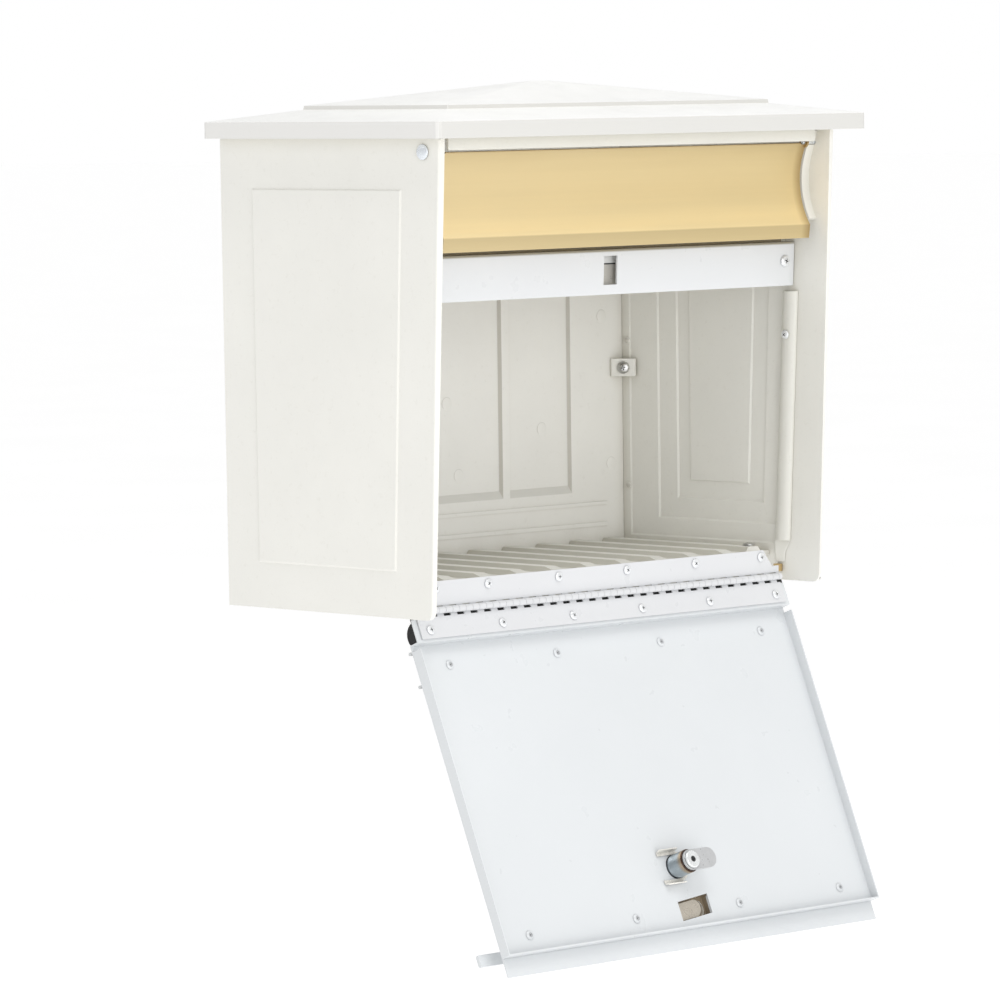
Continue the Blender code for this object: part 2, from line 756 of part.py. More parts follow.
def jamb_rail(side, root):
    """A half-round bead on the side wall with a bell near its foot."""
    rise = JAMB_X[1] - JAMB_X[0]
    outline = [
        (JAMB_X[1] - rise * y, JAMB_HALF * x)
        for x, y in arc((0, 0), 1, 0, math.pi, 10)
    ]
    shape = shape_of(plate_mesh("jamb", [outline], 1.0))
    top_z = max(vert.co.z for vert in shape.verts)
    for vert in shape.verts:
        vert.co.z = JAMB_HEAD[1] if vert.co.z > top_z - 0.1 else JAMB_FOOT[1]
        vert.co.y += jamb_y(vert.co.z)
    middle, size = jamb_y(JAMB_FOOT[1]), 1.0
    for z, back, share in JAMB_BELL:
        face = face_towards(shape, (0, 0, -1))
        face = bmesh.ops.extrude_discrete_faces(shape, faces=[face])["faces"][0]
        for vert in face.verts:
            vert.co.y = jamb_y(z) + back + (vert.co.y - middle) * share / size
            vert.co.x = JAMB_X[1] - (JAMB_X[1] - vert.co.x) * share / size
            vert.co.z = z
        middle, size = jamb_y(z) + back, share
        shape.normal_update()
    name = f"jamb_rail_{side_name(side)}"
    rail = add(name, mesh_of(name, mirrored(shape, side)), BODY_PAINT, root)
    place = (jamb_y(JAMB_SCREW_Z), JAMB_SCREW_Z)
    hole = rods([((JAMB_X[0] - 2, *place), (JAMB_X[1] + 2, *place))], PIN_RADIUS + GAP)
    boolean(rail, "DIFFERENCE", mirrored(hole, side))
    smooth(rail)
    turned(
        f"jamb_screw_{side_name(side)}",
        pan_head(3.4, 1.8, PIN_RADIUS, 7.4),
        NICKEL,
        root,
        (side * (JAMB_X[0] - GAP), *place),
        facing_in(side),
        SMALL_STEPS,
    )


def corner_bracket(side, root):
    """A block across the back corner, held by one screw."""
    x, y = INNER - GAP, BACK_INNER - GAP
    along_back, along_side, tall, level = 13.0, 14.0, 13.0, 148.0
    outline = [
        (x - along_back, y),
        (x - along_back, y - 1.5),
        (x - 1.5, y - along_side),
        (x, y - along_side),
        (x, y),
    ]
    mesh = plate_mesh("bracket", [outline], tall)
    mesh.transform(Matrix.Translation((0, 0, level * MM)))
    name = f"corner_bracket_{side_name(side)}"
    block_mesh = mesh_of(name, mirrored(shape_of(mesh), side))
    block = add(name, block_mesh, BODY_PAINT, root)
    slope = Vector((along_back - 1.5, along_side - 1.5))
    into = Vector((slope.y, slope.x)).normalized()
    middle = Vector((x - (along_back + 1.5) / 2, y - (along_side + 1.5) / 2))
    deep = middle + into * 7
    near = middle - into * 4
    hole = rods([((*near, level), (*deep, level))], PIN_RADIUS + GAP)
    boolean(block, "DIFFERENCE", mirrored(hole, side))
    seat = middle - into * GAP
    turned(
        f"corner_screw_{side_name(side)}",
        pan_head(4.5, 2.2, PIN_RADIUS, 6.0),
        NICKEL,
        root,
        (side * seat.x, seat.y, level),
        (math.pi / 2, 0, math.atan2(side * -into.x, into.y)),
        SMALL_STEPS,
    )


def floor_screws(root):
    for side in (-1, 1):
        turned(
            f"floor_screw_{side_name(side)}",
            pan_head(4.5, 2.0, PIN_RADIUS, 8.0),
            NICKEL,
            root,
            (side * FLOOR_SCREW[0], FLOOR_SCREW[1], FLOOR_TOP + RIB_HEIGHT + GAP),
            FACE_UP,
            SMALL_STEPS,
        )


# ---------------------------------------------------------------- hinge


def comb(first, low, high):
    """The slots between the knuckles of one leaf, starting with segment first."""
    start = -LEAF_HALF + 0.2
    play = GAP / 2
    slots = []
    for index in range(first, KNUCKLE_COUNT, 2):
        left = start + index * KNUCKLE - play
        right = min(left + KNUCKLE + GAP, LEAF_HALF + 1)
        if index == 0:
            left = -LEAF_HALF - 1
        slots.append(((left, low[0], low[1]), (right, high[0], high[1])))
    return boxes(slots)


def leaf_outline(centre, reach, side):
    """A hinge leaf seen from its end: a flat sheet that curls round the pin."""
    start = 0.0 if side > 0 else math.pi
    curl = arc(centre, CURL_RADIUS, start, start - side * CURL_SWEEP, CURL_PARTS)
    path = [(centre[0] + side * CURL_RADIUS, centre[1] + reach)] + curl
    return band(path, LEAF_SHEET)


def hinge_upper_leaf(root):
    outline = leaf_outline((HINGE_Y, HINGE_Z), LEAF_TOP - HINGE_Z, 1)
    mesh = prism_mesh("hinge_upper_leaf", outline, -LEAF_HALF, LEAF_HALF)
    leaf = add("hinge_upper_leaf", mesh, DOOR_PAINT, root)
    slots = comb(1, (HINGE_Y - 4, HINGE_Z - 4), (HINGE_Y + 4, HINGE_Z + UPPER_COMB))
    boolean(leaf, "DIFFERENCE", slots)
    holes = [((x, 40, UPPER_SCREW_Z), (x, 50, UPPER_SCREW_Z)) for x in UPPER_SCREWS_X]
    boolean(leaf, "DIFFERENCE", rods(holes, PIN_RADIUS + GAP))
    (near_x, near_z), (far_x, far_z) = LEAF_CLIP
    for side in (-1, 1):
        outline = [
            (side * near_x, near_z + 2),
            (side * near_x, near_z),
            (side * far_x, far_z),
            (side * (LEAF_HALF + 2), far_z),
            (side * (LEAF_HALF + 2), near_z + 2),
        ]
        corner = upright_mesh("corner", [outline], HINGE_Y - 2, HINGE_Y + 6)
        boolean(leaf, "DIFFERENCE", shape_of(corner))
    seat = HINGE_Y + CURL_RADIUS - LEAF_SHEET / 2 - GAP
    for index, x in enumerate(UPPER_SCREWS_X):
        turned(
            f"upper_leaf_screw_{index + 1}",
            pan_head(3.2, 1.5, PIN_RADIUS, 6.5),
            NICKEL,
            root,
            (x, seat, UPPER_SCREW_Z),
            FACE_FRONT,
            SMALL_STEPS,
        )


def hinge_pin(root):
    pin = rods([((0.2 - LEAF_HALF, 0, 0), (LEAF_HALF - 0.2, 0, 0))], HINGE_PIN, 12)
    piece = add("hinge_pin", mesh_of("hinge_pin", pin), NICKEL, root, (0, HINGE_Y, HINGE_Z))
    smooth(piece)


def hinge_lower_leaf(door):
    outline = leaf_outline((0, 0), LOWER_LEAF, -1)
    mesh = prism_mesh("hinge_lower_leaf", outline, -LEAF_HALF, LEAF_HALF)
    leaf = add("hinge_lower_leaf", mesh, DOOR_PAINT, door)
    boolean(leaf, "DIFFERENCE", comb(0, (-4, -4), (4, LOWER_COMB)))
    holes = [((x, -5, LOWER_SCREW_S), (x, 2, LOWER_SCREW_S)) for x in LOWER_SCREWS_X]
    boolean(leaf, "DIFFERENCE", rods(holes, PIN_RADIUS + GAP))
    seat = LEAF_SHEET / 2 - CURL_RADIUS + GAP
    length = seat - FLANGE_FACE + PAN_SHEET
    for index, x in enumerate(LOWER_SCREWS_X):
        turned(
            f"lower_leaf_screw_{index + 1}",
            pan_head(3.2, 1.5, PIN_RADIUS, length),
            NICKEL,
            door,
            (x, seat, LOWER_SCREW_S),
            FACE_BACK,
            SMALL_STEPS,
        )


# ---------------------------------------------------------------- flap


def mail_flap(flap):
    """The curved flap with an ear at each end, drawn about its pivot."""
    py, pz = PIVOT
    path = arc_through(FLAP_TOP, FLAP_MIDDLE, FLAP_CREASE, 14) + [FLAP_LIP]
    path = [(y - py, z - pz) for y, z in path]
    outline = band(path, FLAP_SHEET, FLAP_SHEET / 2)
    mesh = prism_mesh("mail_flap", outline, -FLAP_HALF, FLAP_HALF)
    piece = add("mail_flap", mesh, BRASS, flap)
    ears = []
    for side in (-1, 1):
        ears.append(((side * (FLAP_HALF - EAR_SHEET), 0, 0), (side * FLAP_HALF, 0, 0)))
    boolean(piece, "UNION", rods(ears, EAR_RADIUS, 16))
    reach = FLAP_HALF - EAR_SHEET
    holes = [((s * (reach - 4), 0, 0), (s * (FLAP_HALF + 2), 0, 0)) for s in (-1, 1)]
    boolean(piece, "DIFFERENCE", rods(holes, PIN_RADIUS + GAP, 12))
    smooth(piece)


def flap_pin(side, root):
    """A headed pin through the side wall that the flap swings on."""
    profile = [
        (0, 2.2),
        (PIN_HEAD * 0.7, 2.0),
        (PIN_HEAD, 1.1),
        (PIN_HEAD, 0),
        (PIN_RADIUS, 0),
        (PIN_RADIUS, -PIN_REACH),
        (0, -PIN_REACH),
    ]
    turned(
        f"flap_pin_{side_name(side)}",
        profile,
        NICKEL,
        root,
        (side * (OUTER + GAP), *PIVOT),
        facing_out(side),
        16,
    )


# ---------------------------------------------------------------- door


def slanted(outline):
    """An outline in the plane of the door, slanted as the latch and its window are."""
    middle = (WINDOW_X[0] + WINDOW_X[1]) / 2
    return [(x, s - LATCH_SLANT * (x - middle)) for x, s in outline]


def latch_window(start):
    """The shape that cuts the window of the latch through the door's sheets."""
    (left, right), end = WINDOW_X, WINDOW_S[1]
    outline = slanted([(left, start), (right, start), (right, end), (left, end)])
    return shape_of(upright_mesh("window", [outline], -14, -8))


def door_pan(door):
    """The folded steel tray of the door, its rims turned inwards."""
    pan_outer = box((-PAN_HALF, PAN_OUTSIDE, PAN_START), (PAN_HALF, PAN_RIM, PAN_END))
    for vert in pan_outer.verts:
        if vert.co.y > PAN_OUTSIDE + 1 and vert.co.z > PAN_START + 1:
            vert.co.y = PAN_RIM_END
    pan = add("door_pan", mesh_of("door_pan", pan_outer), DOOR_PAINT, door)
    inside = box(
        (-PAN_HALF + PAN_SHEET, PAN_OUTSIDE + PAN_SHEET, PAN_START + PAN_SHEET),
        (PAN_HALF - PAN_SHEET, 2, PAN_END - PAN_SHEET),
    )
    boolean(pan, "DIFFERENCE", inside)
    step = box((-PAN_HALF - 1, FLANGE_FACE, PAN_START - 3), (PAN_HALF + 1, 2, PAN_START + 5))
    boolean(pan, "DIFFERENCE", step)
    flange = box(
        (-PAN_HALF, FLANGE_FACE - PAN_SHEET, FLANGE_START),
        (PAN_HALF, FLANGE_FACE, PAN_START + PAN_SHEET / 2),
    )
    boolean(pan, "UNION", flange)
    gaps = []
    for side in (-1, 1):
        low, high = sorted((side * (PAN_HALF - PAN_SHEET - 0.4), side * (PAN_HALF + 1)))
        start = PAN_START + PAN_SHEET
        gaps.append(((low, PAN_OUTSIDE + PAN_SHEET, start), (high, 2, start + SIDE_GAP)))
    boolean(pan, "DIFFERENCE", boxes(gaps))
    boolean(pan, "DIFFERENCE", latch_window(WINDOW_S[0]))
    lock_hole = rods([((0, -14, LOCK_S), (0, -8, LOCK_S))], LOCK_RADIUS + GAP, ROUND_STEPS)
    boolean(pan, "DIFFERENCE", lock_hole)
    small = [((x, -14, s), (x, -8, s)) for x in RIVETS_X for s in RIVETS_S]
    small += [((x, -6, LOWER_SCREW_S), (x, 0, LOWER_SCREW_S)) for x in LOWER_SCREWS_X]
    boolean(pan, "DIFFERENCE", rods(small, PIN_RADIUS + GAP))


def door_rails(door):
    """The stiffening rails riveted to the outside of the door."""
    low, high = LOWER_RAIL
    outside = RAIL_FACE - RAIL_SHEET
    strip = box((-RAIL_HALF, outside, low), (RAIL_HALF, RAIL_FACE, high))
    lower = add("door_rail_lower", mesh_of("door_rail_lower", strip), DOOR_PAINT, door)
    tip = outside - RAIL_LEG + RAIL_BEAD
    legs = [
        ((-RAIL_HALF, tip, s - RAIL_SHEET / 2), (RAIL_HALF, RAIL_FACE - 0.5, s + RAIL_SHEET / 2))
        for s in LOWER_RAIL_LEGS
    ]
    boolean(lower, "UNION", boxes(legs))
    beads = [((-RAIL_HALF, tip, s), (RAIL_HALF, tip, s)) for s in LOWER_RAIL_LEGS]
    boolean(lower, "UNION", rods(beads, RAIL_BEAD))
    plate = box(
        (-RAIL_HALF, RAIL_FACE - RAIL_SHEET, UPPER_RAIL[0]),
        (RAIL_HALF, RAIL_FACE, UPPER_RAIL[1]),
    )
    upper = add("door_rail_upper", mesh_of("door_rail_upper", plate), DOOR_PAINT, door)
    boolean(upper, "DIFFERENCE", latch_window(UPPER_RAIL[0] - 4))
    for rail, s in zip((lower, upper), RIVETS_S):
        holes = [((x, -16, s), (x, -8, s)) for x in RIVETS_X]
        boolean(rail, "DIFFERENCE", rods(holes, PIN_RADIUS + GAP))


def door_rivets(door):
    """Rivets through the tray and a rail, headed on both faces."""
    seat = PAN_OUTSIDE + PAN_SHEET + GAP
    through = seat - (RAIL_FACE - RAIL_SHEET) + GAP
    profile = [
        (0, 1.2),
        (2.0, 1.0),
        (3.2, 0),
        (PIN_RADIUS, 0),
        (PIN_RADIUS, -through),
        (2.8, -through),
        (2.0, -through - 1.0),
        (0, -through - 1.1),
    ]
    places = [(x, s) for s in RIVETS_S for x in RIVETS_X]
    for index, (x, s) in enumerate(places):
        turned(
            f"door_rivet_{index + 1}",
            profile,
            NICKEL,
            door,
            (x, seat, s),
            FACE_BACK,
            SMALL_STEPS,
        )


def pull_bar(door):
    """The bar along the free end that the door is pulled open by, on two posts."""
    bar = box((-PULL_HALF, PULL_T[0], PULL_S[0]), (PULL_HALF, PULL_T[1], PULL_S[1]))
    long_edges = [
        edge
        for edge in bar.edges
        if abs(edge.verts[0].co.x - edge.verts[1].co.x) > PULL_HALF
        and edge.verts[0].co.y < PULL_T[0] + 0.1
    ]
    bmesh.ops.bevel(bar, geom=long_edges, offset=1.2, segments=2, profile=0.5, affect="EDGES")
    piece = add("pull_bar", mesh_of("pull_bar", bar), DOOR_PAINT, door)
    root_face = RAIL_FACE - RAIL_SHEET - GAP
    posts = [
        (
            (s * POST_X - POST_HALF, PULL_T[1] - 1, PULL_S[0] + 1),
            (s * POST_X + POST_HALF, root_face, PULL_S[1] - 1),
        )
        for s in (-1, 1)
    ]
    boolean(piece, "UNION", boxes(posts))


def bumper_strip(door):
    """A rubber strip behind the hinge, thin at first, with a round back against the tray."""
    (tip, low, middle, high), (flat, skin, crown, deep) = BUMPER_S, BUMPER_T
    outline = [(flat, tip), (skin, tip)]
    outline += arc_through((skin, low), (crown, middle), (deep, high), 8)
    outline.append((flat, high))
    mesh = prism_mesh("bumper_strip", outline, -BUMPER_HALF, BUMPER_HALF)
    strip = add("bumper_strip", mesh, RUBBER, door)
    smooth(strip)


# ---------------------------------------------------------------- lock


def lock_body(door):
    """The lock barrel, drawn about its own axis, with a flange on the outside of the door."""
    flange = PAN_OUTSIDE - GAP
    bore = PLUG_RADIUS + GAP
    profile = [
        (bore, LOCK_END),
        (LOCK_RADIUS - 0.5, LOCK_END),
        (LOCK_RADIUS, LOCK_END - 0.5),
        (LOCK_RADIUS, flange),
        (11.0, flange),
        (11.0, flange - 1.2),
        (10.0, flange - 2.2),
        (bore, flange - 2.2),
    ]
    turned(
        "lock_body", profile, ZINC, door, (0, 0, LOCK_S), FACE_BACK, ROUND_STEPS, loop=True
    )


def lock_clip(door):
    """The spring clip that holds the barrel, forked round it, with curled ends."""
    s, t, half = LOCK_S, CLIP_T, CLIP_HALF
    path = [
        (t + 3.6, s - half - 0.6),
        (t + 2.2, s - half),
        (t + 0.8, s - half + 0.2),
        (t, s - half + 1.2),
        (t, s + half - 1.2),
        (t + 0.8, s + half - 0.2),
        (t + 2.2, s + half),
        (t + 3.6, s + half + 0.6),
    ]
    mesh = prism_mesh("lock_clip", band(path, 0.9), CLIP_X[0], CLIP_X[1])
    clip = add("lock_clip", mesh, NICKEL, door)
    play = LOCK_RADIUS + 0.4
    fork = box((CLIP_X[0] - 1, t - 2, s - play), (CLIP_X[1] + 1, t + 2, s + play))
    boolean(clip, "DIFFERENCE", fork)
    spread = math.radians(100)
    ring = arc((0, s), CLIP_RING, -spread, spread, 20) + arc((0, s), play, spread, -spread, 20)
    boolean(clip, "UNION", shape_of(upright_mesh("ring", [ring], t - 0.45, t + 0.45)))


def lock_plug(lock):
    """The plug that the key turns, with a square end for the cam and a keyway."""
    outside = PAN_OUTSIDE - GAP - 2.0
    profile = [
        (0, LOCK_END),
        (PLUG_RADIUS, LOCK_END),
        (PLUG_RADIUS, outside),
        (0, outside),
    ]
    plug = turned("lock_plug", profile, ZINC, lock, (0, 0, 0), FACE_BACK, ROUND_STEPS)
    q = CAM_SQUARE
    boolean(plug, "UNION", box((-q, LOCK_END - 1, -q), (q, CAM_T[1], q)))
    boolean(plug, "DIFFERENCE", rods([((0, -1, 0), (0, CAM_T[1] + 1, 0))], 1.5))
    boolean(plug, "DIFFERENCE", box((-0.7, outside - 1, -3), (0.7, outside + 6, 3)))


def lock_cam(lock):
    """The flat cam, square-holed, with a rounded end."""
    half, reach = CAM_HALF, CAM_REACH
    tip = reach - half
    outer = arc((0, 0), half, math.pi / 2, 3 * math.pi / 2, 10)
    outer += arc((tip, 0), half, -math.pi / 2, math.pi / 2, 10)
    q = CAM_SQUARE + GAP
    hole = [(-q, -q), (q, -q), (q, q), (-q, q)]
    mesh = upright_mesh("lock_cam", [outer, hole], *CAM_T)
    cam = add("lock_cam", mesh, ZINC, lock)
    smooth(cam)


def cam_screw(lock):
    seat = CAM_T[1] + GAP
    radius, top = CAM_SCREW_RADIUS, CAM_SCREW_TOP - seat
    profile = [
        (0, top - 0.7),
        (1.4, top - 0.7),
        (1.8, top),
        (radius * 0.85, top),
        (radius, top * 0.6),
        (radius, 0),
        (1.2, 0),
        (1.2, -6.5),
        (0, -6.5),
    ]
    turned("cam_screw", profile, NICKEL, lock, (0, seat, 0), FACE_BACK, 16)


# ---------------------------------------------------------------- latch


def latch_housing(door):
    """The small open box behind the window that the catch slides in."""
    (x0, x1), (s0, s1), (t0, t1) = HOUSING_X, HOUSING_S, HOUSING_T
    wall = HOUSING_WALL
    block = box((x0, t0, s0), (x1, t1, s1))
    housing = add("latch_housing", mesh_of("latch_housing", block), DARK, door)
    hollow = box((x0 + wall, t0 + wall, s0 + wall), (x1 - wall, t1 + 2, s1 - wall))
    boolean(housing, "DIFFERENCE", hollow)


def latch_spring(door):
    """The bowed leaf spring that brings the catch back."""
    low, high = TONGUE_S - 5.5, TONGUE_S + 5.5
    path = arc_through(
        (SPRING_X, low), (SPRING_X + SPRING_BOW, TONGUE_S), (SPRING_X, high), 8
    )
    mesh = upright_mesh("latch_spring", [band(path, 0.5)], *SPRING_T)
    add("latch_spring", mesh, NICKEL, door)


def latch_tongue(latch):
    """The sliding catch, rounded at one end."""
    half = TONGUE_HALF
    left, right = TONGUE_X
    outline = [(left, -half)]
    outline += arc((right - half, 0), half, -math.pi / 2, math.pi / 2, 10)
    outline += [(left, half)]
    mesh = upright_mesh("latch_tongue", [slanted(outline)], *TONGUE_T)
    tongue = add("latch_tongue", mesh, NICKEL, latch)
    smooth(tongue)


# ---------------------------------------------------------------- assembly


def build():
    root = empty("mailbox_frame", (0, -DEPTH, -HEIGHT / 2))
    door = empty("door_axis", (0, HINGE_Y, HINGE_Z), root)
    door.rotation_euler = (OPEN_ANGLE, 0, 0)
    flap = empty("flap_axis", (0, *PIVOT), root)
    lock = empty("lock_axis", (0, 0, LOCK_S), door)
    latch = empty("latch_axis", (0, 0, TONGUE_S), door)

    back_panel(root)
    floor_tray(root)
    roof_cap(root)
    header_rail(root)
    crossbar(root)
    strike_plate(root)
    floor_screws(root)
    for side in (-1, 1):
        side_panel(side, root)
        jamb_rail(side, root)
        corner_bracket(side, root)
        flap_pin(side, root)
    hinge_upper_leaf(root)
    hinge_pin(root)
    mail_flap(flap)

    hinge_lower_leaf(door)
    door_pan(door)
    door_rails(door)
    door_rivets(door)
    pull_bar(door)
    bumper_strip(door)
    lock_body(door)
    lock_clip(door)
    latch_housing(door)
    latch_spring(door)
    lock_plug(lock)
    lock_cam(lock)
    cam_screw(lock)
    latch_tongue(latch)
    bpy.context.view_layer.update()


build()
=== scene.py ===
import json
import math

import bmesh
import bpy
from mathutils import Matrix, Vector


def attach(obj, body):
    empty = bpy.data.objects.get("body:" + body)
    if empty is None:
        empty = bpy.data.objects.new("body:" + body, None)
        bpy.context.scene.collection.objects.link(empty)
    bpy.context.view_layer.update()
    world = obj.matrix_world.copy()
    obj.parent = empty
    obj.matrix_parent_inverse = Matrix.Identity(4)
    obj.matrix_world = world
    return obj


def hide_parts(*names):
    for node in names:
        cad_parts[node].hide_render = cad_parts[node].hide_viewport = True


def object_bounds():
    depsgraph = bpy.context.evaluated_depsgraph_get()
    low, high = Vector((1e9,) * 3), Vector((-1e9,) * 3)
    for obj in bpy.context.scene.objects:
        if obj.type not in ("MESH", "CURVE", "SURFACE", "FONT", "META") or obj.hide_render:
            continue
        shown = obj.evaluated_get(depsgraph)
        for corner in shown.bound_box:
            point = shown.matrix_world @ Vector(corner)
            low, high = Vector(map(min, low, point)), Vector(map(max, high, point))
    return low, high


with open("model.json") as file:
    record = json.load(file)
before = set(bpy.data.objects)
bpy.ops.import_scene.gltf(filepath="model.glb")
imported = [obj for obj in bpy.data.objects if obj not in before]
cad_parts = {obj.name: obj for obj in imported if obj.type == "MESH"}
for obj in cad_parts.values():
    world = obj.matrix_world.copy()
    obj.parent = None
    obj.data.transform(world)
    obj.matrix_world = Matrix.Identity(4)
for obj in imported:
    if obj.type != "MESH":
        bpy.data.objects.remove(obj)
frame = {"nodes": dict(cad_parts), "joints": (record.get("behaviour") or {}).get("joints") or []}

# Lengths are in millimetres unless a name or comment says metres; MM turns them into metres.
CAD_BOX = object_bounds()
NODES = frame["nodes"]
JOINTS = {joint["name"]: joint for joint in frame["joints"]}
MM = 0.001
HOME = Vector((0.0, -216.4, -160.55))  # the front lower edge of the body, where the drawing starts
AT_HOME = Matrix.Translation(HOME * MM)

SCENE = bpy.context.scene
LOOKS = bpy.data.collections.new("looks")
SCENE.collection.children.link(LOOKS)


# ---------------------------------------------------------------- finishes


def linear(level):
    """An 8-bit screen level as linear light."""
    share = level / 255
    return share / 12.92 if share <= 0.04045 else ((share + 0.055) / 1.055) ** 2.4


def rgb(colour, gain=1.0):
    return [min(1.0, linear(level) * gain) for level in colour] + [1.0]


class Graph:
    """A material's node tree, with short calls for the nodes used here. Its lengths are in metres."""

    def __init__(self, name):
        self.material = bpy.data.materials.new(name)
        self.material.use_nodes = True
        self.tree = self.material.node_tree
        self.shader = self.tree.nodes["Principled BSDF"]
        self.place = self.node("ShaderNodeTexCoord").outputs["Object"]

    def node(self, kind, **settings):
        made = self.tree.nodes.new(kind)
        for key, value in settings.items():
            setattr(made, key, value)
        return made

    def link(self, source, target):
        self.tree.links.new(source, target)

    def noise(self, scale, detail=2.0, roughness=0.5, stretch=None):
        made = self.node("ShaderNodeTexNoise")
        made.inputs["Scale"].default_value = scale
        made.inputs["Detail"].default_value = detail
        made.inputs["Roughness"].default_value = roughness
        if stretch:
            mapping = self.node("ShaderNodeMapping")
            mapping.inputs["Scale"].default_value = stretch
            self.link(self.place, mapping.inputs["Vector"])
            self.link(mapping.outputs["Vector"], made.inputs["Vector"])
        else:
            self.link(self.place, made.inputs["Vector"])
        return made.outputs["Fac"]

    def span(self, source, low, high, to_low=0.0, to_high=1.0):
        made = self.node("ShaderNodeMapRange", clamp=True)
        for key, value in zip(("From Min", "From Max", "To Min", "To Max"), (low, high, to_low, to_high)):
            made.inputs[key].default_value = value
        self.link(source, made.inputs["Value"])
        return made.outputs["Result"]

    def patches(self, noise, to_low=0.0, to_high=1.0):
        """Soft patches: the middle of a noise's range, spread out."""
        return self.span(noise, 0.3, 0.7, to_low, to_high)

    def mix(self, share, first, second):
        made = self.node("ShaderNodeMix", data_type="RGBA")
        self.link(share, made.inputs[0])
        for socket, value in ((made.inputs[6], first), (made.inputs[7], second)):
            if isinstance(value, bpy.types.NodeSocket):
                self.link(value, socket)
            else:
                socket.default_value = value
        return made.outputs[2]

    def occlusion(self, distance, samples=6):
        """Near 1 in the open and lower in a corner."""
        made = self.node("ShaderNodeAmbientOcclusion", samples=samples)
        made.inputs["Distance"].default_value = distance
        return made.outputs["AO"]

    def edges(self, radius=0.0007):
        """Near 1 along an edge and 0 on a flat, from how far a rounded normal would turn."""
        soft = self.node("ShaderNodeBevel", samples=4)
        soft.inputs["Radius"].default_value = radius
        dot = self.node("ShaderNodeVectorMath", operation="DOT_PRODUCT")
        self.link(soft.outputs["Normal"], dot.inputs[0])
        self.link(self.node("ShaderNodeNewGeometry").outputs["Normal"], dot.inputs[1])
        return self.span(dot.outputs["Value"], 0.985, 0.88)

    def axis(self, letter):
        """How far along one axis a point is."""
        made = self.node("ShaderNodeSeparateXYZ")
        self.link(self.place, made.inputs["Vector"])
        return made.outputs[letter]

    def radius(self):
        """Distance from the piece's own Z axis."""
        flat = self.node("ShaderNodeVectorMath", operation="MULTIPLY")
        self.link(self.place, flat.inputs[0])
        flat.inputs[1].default_value = (1.0, 1.0, 0.0)
        made = self.node("ShaderNodeVectorMath", operation="LENGTH")
        self.link(flat.outputs["Vector"], made.inputs[0])
        return made.outputs["Value"]

    def facing(self, letter):
        """One component of the true normal."""
        made = self.node("ShaderNodeSeparateXYZ")
        self.link(self.node("ShaderNodeNewGeometry").outputs["True Normal"], made.inputs["Vector"])
        return made.outputs[letter]

    def tinted(self, base, tints):
        """Tints over a base: (what the tint follows, where it starts, where it is full, colour)."""
        for follows, start, full, colour in tints:
            if follows == "radius":
                source = self.radius()
            elif follows.startswith("facing "):
                source = self.facing(follows[-1])
            else:
                source = self.axis(follows)
            base = self.mix(self.span(source, start, full), base, rgb(colour))
        return base

    def gain(self, colour, factor):
        """A colour made lighter or darker by a factor."""
        made = self.node("ShaderNodeVectorMath", operation="SCALE")
        self.link(colour, made.inputs[0])
        self.link(factor, made.inputs["Scale"])
        return made.outputs["Vector"]

    def bump(self, heights):
        """One bump after another: (height, strength, distance)."""
        normal = None
        for height, strength, distance in heights:
            made = self.node("ShaderNodeBump")
            made.inputs["Strength"].default_value = strength
            made.inputs["Distance"].default_value = distance
            self.link(height, made.inputs["Height"])
            if normal is not None:
                self.link(normal, made.inputs["Normal"])
            normal = made.outputs["Normal"]
        self.link(normal, self.shader.inputs["Normal"])

    def finish(self, base, gloss, **values):
        """Colour, roughness and the shader's plain values; gives the material back."""
        self.link(base, self.shader.inputs["Base Color"])
        self.link(gloss, self.shader.inputs["Roughness"])
        for key, value in values.items():
            self.shader.inputs[key.replace("_", " ")].default_value = value
        return self.material


def moulded(name, colour, crevice, edge, roughness=0.42, mottle=0.02, peel=0.18, tints=()):
    """Moulded plastic: faint cloudiness, dark specks, orange peel, edges in the edge colour (partly rubbed
    wear, partly painted highlight) and painted shade in the corners.
    """
    g = Graph(name)
    base = g.mix(g.patches(g.noise(14.0, 4.0, 0.6)), rgb(colour, 1 - mottle), rgb(colour, 1 + mottle))
    base = g.tinted(base, tints)
    specks = g.span(g.noise(260.0, 2.0, 0.7), 0.60, 0.74, 0.0, 0.10)
    base = g.mix(specks, base, rgb(crevice, 0.92))
    # painted shade: the colour turns towards the crevice colour where the occlusion finds a corner
    corners = g.span(g.occlusion(0.012), 0.35, 0.95, 0.55, 0.0)
    base = g.mix(corners, base, rgb(crevice))
    # edges turn towards the edge colour: partly rubbed wear, partly painted highlight
    rubbed_and_highlit = g.span(g.edges(), 0.0, 1.0, 0.0, 0.5)
    base = g.mix(rubbed_and_highlit, base, rgb(edge))
    gloss = g.patches(g.noise(55.0, 3.0, 0.55), roughness - 0.07, roughness + 0.09)
    g.bump([(g.noise(620.0, 3.0, 0.55), peel, 0.00012), (g.noise(42.0), 0.12, 0.0006)])
    return g.finish(base, gloss, IOR=1.5)


def enamelled(name, colour, crevice, roughness=0.32, mottle=0.015, tints=()):
    """Powder coat on folded steel: fine orange peel, and painted shade that makes it greyer in the folds."""
    g = Graph(name)
    base = g.mix(g.patches(g.noise(9.0, 3.0)), rgb(colour, 1 - mottle), rgb(colour, 1 + mottle))
    base = g.tinted(base, tints)
    # painted shade: greyer towards the crevice colour in folds and corners
    corners = g.span(g.occlusion(0.008), 0.30, 0.95, 0.50, 0.0)
    base = g.mix(corners, base, rgb(crevice))
    gloss = g.patches(g.noise(70.0, 3.0), roughness - 0.05, roughness + 0.08)
    g.bump([(g.noise(850.0), 0.14, 0.00010), (g.noise(30.0), 0.08, 0.0006)])
    return g.finish(base, gloss, IOR=1.5)


